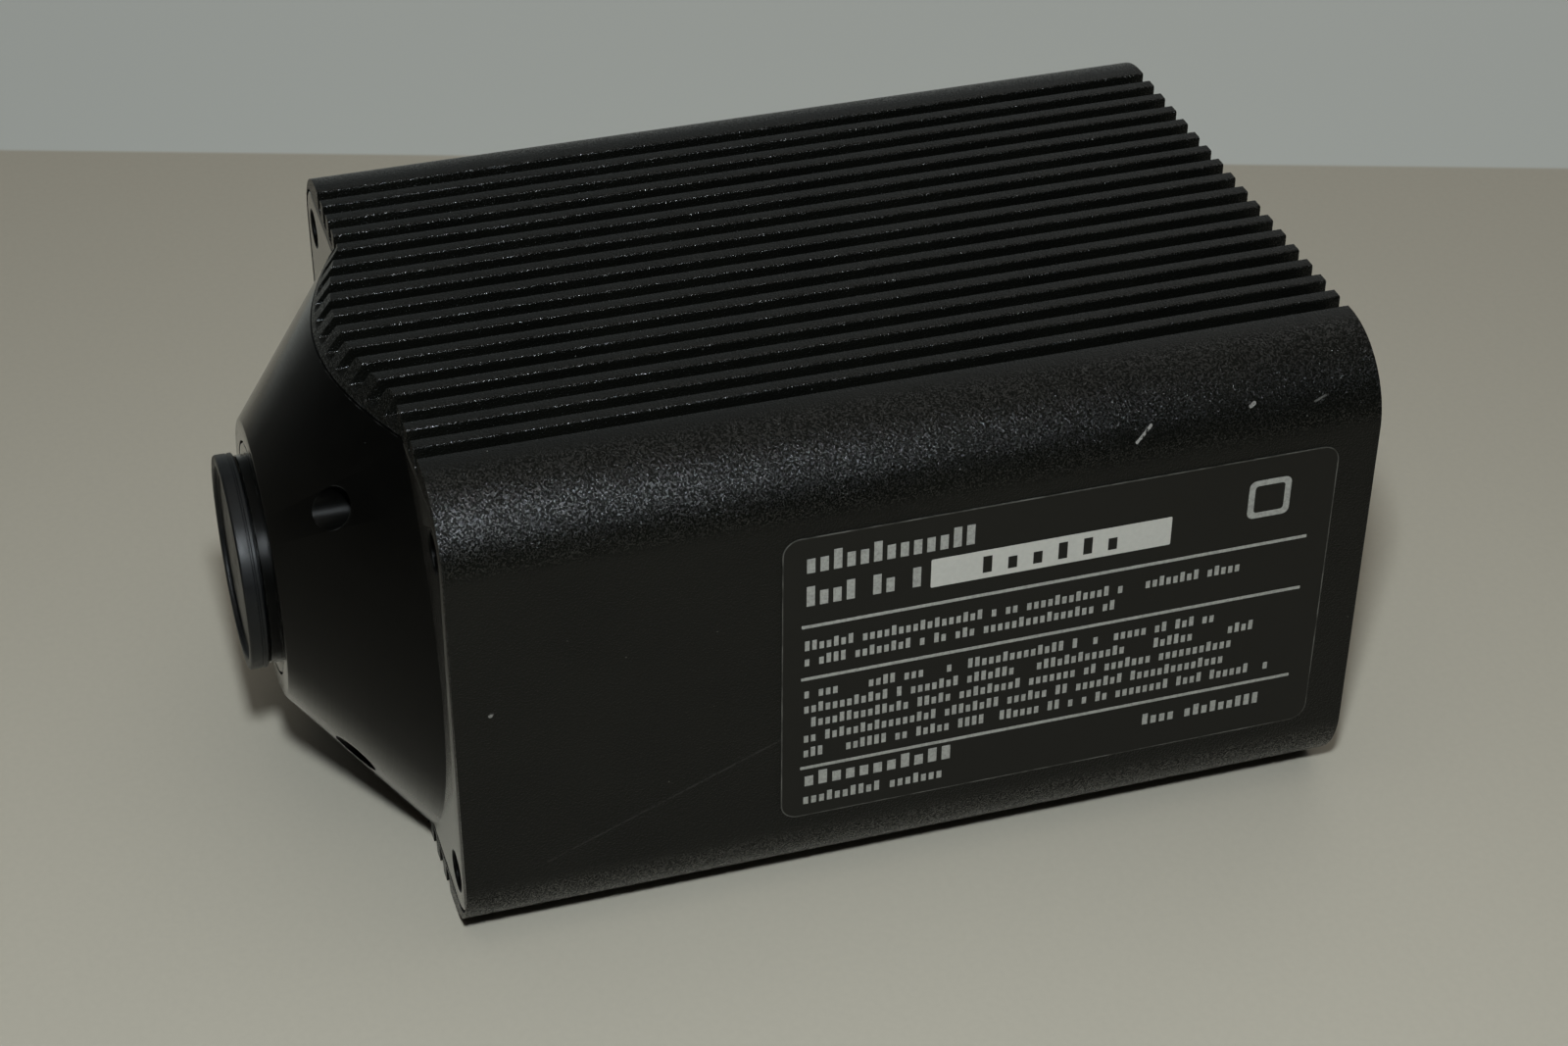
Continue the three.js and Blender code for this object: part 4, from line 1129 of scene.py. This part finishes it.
for i, side in enumerate((-1, 1)):
    x = data_x + side * jack_offset
    jack = shell(f"jack_nut_{i + 1}", [regular_loop(2.75, y, 6, x) if r > 2.6 else regular_loop(r, y, 6, x)
                                       for r, y in ((2.75, 130.0), (2.75, 135.4), (2.45, 135.7))],
                 sharp_angle=20)
    carve(jack, "UNION",
          turned(f"shank_{i}", [(0, 118.7), (1.5, 118.7), (1.5, 131), (0, 131)], 24, wrap=False, x=x * mm))
    thread = threaded_wall(1.15, 131.0, 135.9, 0.6, 0.15, 24)
    thread = [[(px + x * mm, py, pz) for px, py, pz in loop] for loop in thread]
    carve(jack, "DIFFERENCE", shell(f"jack_thread_{i}", thread))
    show(jack, "camera_body", "nickel", nickel, f"jack_screw_{i + 1}")


# ---------------------------------------------------------------------------------------------
# The power socket and the lamp
# A round nickel shell with a keyway round a black insert with four pins, and a green lamp lens.
power_shell = turned("power_socket_barrel", [
    (4.6, 118.7), (6.0, 118.7), (6.0, 130.0), (7.4, 130.0), (7.5, 130.1), (7.5, 131.6), (7.3, 131.75),
    (6.2, 131.9), (6.0, 132.1),
    (6.0, 135.5), (5.8, 135.7), (4.8, 135.7), (4.6, 135.5)], 72, x=power_x * mm)
keyway = rounded_plate("keyway", 0.9, 1.2, 0.3, [(131.7, 0), (137, 0)], 3, x=power_x * mm, z=5.4 * mm)
carve(power_shell, "DIFFERENCE", keyway)
show(power_shell, "camera_body", "nickel", nickel, "power_socket_shell")

power_insert = turned("power_socket_core", [(0, 115.7), (4.3, 115.7), (4.3, 133.0), (4.1, 133.2), (0, 133.2)],
                      48, wrap=False,
                      x=power_x * mm)
holes = [turned(f"pin_hole_{i}", [(0, 131.5), (0.6, 131.5), (0.6, 134), (0, 134)], 20, wrap=False,
                x=(power_x + 2.1 * math.cos(t)) * mm, z=2.1 * math.sin(t) * mm)
         for i, t in enumerate([math.pi * (0.25 + 0.5 * k) for k in range(4)])]
carve(power_insert, "DIFFERENCE", *holes)
show(power_insert, "camera_body", "black_plastic", moulded_black, "power_socket_insert")

power_pins = join("power_socket_pins", [
    turned(f"power_pin_{i}", [(0, 131.0), (0.42, 131.0), (0.42, 132.6), (0.2, 132.9), (0, 132.9)], 16,
           wrap=False,
           x=(power_x + 2.1 * math.cos(t)) * mm, z=2.1 * math.sin(t) * mm)
    for i, t in enumerate([math.pi * (0.25 + 0.5 * k) for k in range(4)])])
smooth(power_pins, 30)
show(power_pins, "camera_body", "brass", gold)

lamp_lens = turned("lamp_lens", [(0, 122.7), (1.6, 122.7), (1.6, 129.9)]
                   + [(1.6 * math.cos(t),
                       129.9 + 0.85 * math.sin(t)) for t in [math.pi / 16 * k for k in range(1, 8)]]
                   + [(0, 130.75)], 32, wrap=False, x=lamp_x * mm, z=lamp_z * mm)
green_lens = grained("green_lamp_lens", (700, 3), ((0.03, 0.22, 0.06), (0.05, 0.30, 0.09)), (0.10, 0.18))
show(lamp_lens, "camera_body", "lamp_lens", green_lens, "status_lamp")


# ---------------------------------------------------------------------------------------------
# The optics inside
# A coated filter behind the mount, held by a thin ring; then a sealed aluminium chamber with its
# own window, the image sensor in a ceramic package, and a cooler that passes heat to the housing.
coated_glass = grained("coated_glass", (120, 3), ((0.55, 0.86, 0.82), (0.66, 0.92, 0.88)), (0.02, 0.05),
                       Transmission_Weight=0.85, IOR=1.52, Coat_Weight=0.4)

machined_aluminium, tree, shader = new_material("machined_aluminium")
rings = use_group(tree, ring_tree, Pitch=0.00030, Depth=1.0)
fill(tree, shader, {
    "Base Color": blend_colour(tree, rings["Streak"], (0.50, 0.51, 0.52, 1), (0.64, 0.65, 0.66, 1)),
    "Roughness": remap(tree, rings["Streak"], 0.3, 0.7, 0.28, 0.42),
    "Normal": raise_surface(tree, rings["Height"], 0.2, 0.00003),
    "Metallic": 1.0,
})

fired_ceramic = grained("brown_fired_ceramic", (3000, 4, 0.7), ((0.10, 0.06, 0.045), (0.20, 0.13, 0.10)),
                        (0.45, 0.65), stretched=False, bump=(0.2, 0.00003))
white_ceramic = grained("white_ceramic", (2400, 4, 0.7), ((0.70, 0.68, 0.62), (0.82, 0.80, 0.75)),
                        (0.40, 0.60), stretched=False, bump=(0.2, 0.00003))
matt_rubber = grained("matt_black_rubber", (2000, 3, 0.6), ((0.012, 0.012, 0.012), (0.026, 0.026, 0.026)),
                      (0.75, 0.90), stretched=False, bump=(0.3, 0.00004))


# ---------------------------------------------------------------------------------------------
# The circuits inside
# Green glass-epoxy boards with copper tracks under the mask, on hexagonal brass spacers.
board_green, tree, shader = new_material("green_circuit_board")
place = object_coordinates(tree)
grid = put(tree, "ShaderNodeTexBrick",
           {"Vector": put(tree, "ShaderNodeMapping", {"Vector": place, "Scale": (1, 1, 0.2)}).outputs[0],
            "Scale": 320, "Mortar Size": 0.06, "Bias": -0.2})
tracks = grid.outputs["Fac"]
patchy = remap(tree, noise(tree, place, 180, 3), 0.45, 0.55)
shown = calculate(tree, "MULTIPLY", tracks, patchy)
fill(tree, shader, {
    "Base Color": blend_colour(tree, shown, (0.010, 0.075, 0.028, 1), (0.030, 0.160, 0.060, 1)),
    "Roughness": remap(tree, shown, 0, 1, 0.35, 0.25),
    "Normal": raise_surface(tree, shown, 0.3, 0.00004),
})

turned_brass = grained("turned_brass", (700, 3), ((0.56, 0.41, 0.17), (0.68, 0.52, 0.24)), (0.22, 0.36),
                       Metallic=1.0)

inside = {"blocking_filter": coated_glass, "chamber_window": coated_glass, "sensor_cover_glass": coated_glass,
          "filter_ring": satin_black, "chamber_seal": matt_rubber, "sensor_chamber": machined_aluminium,
          "heat_spreader": machined_aluminium, "sensor_package": fired_ceramic,
          "cooler_module": white_ceramic,
          "sensor_board": board_green, "main_board": board_green, "power_board": board_green,
          **{f"board_spacer_{i}": turned_brass for i in range(1, 5)}}
for name, finish in inside.items():
    node_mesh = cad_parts[name].data
    node_mesh.materials.clear()
    node_mesh.materials.append(finish)
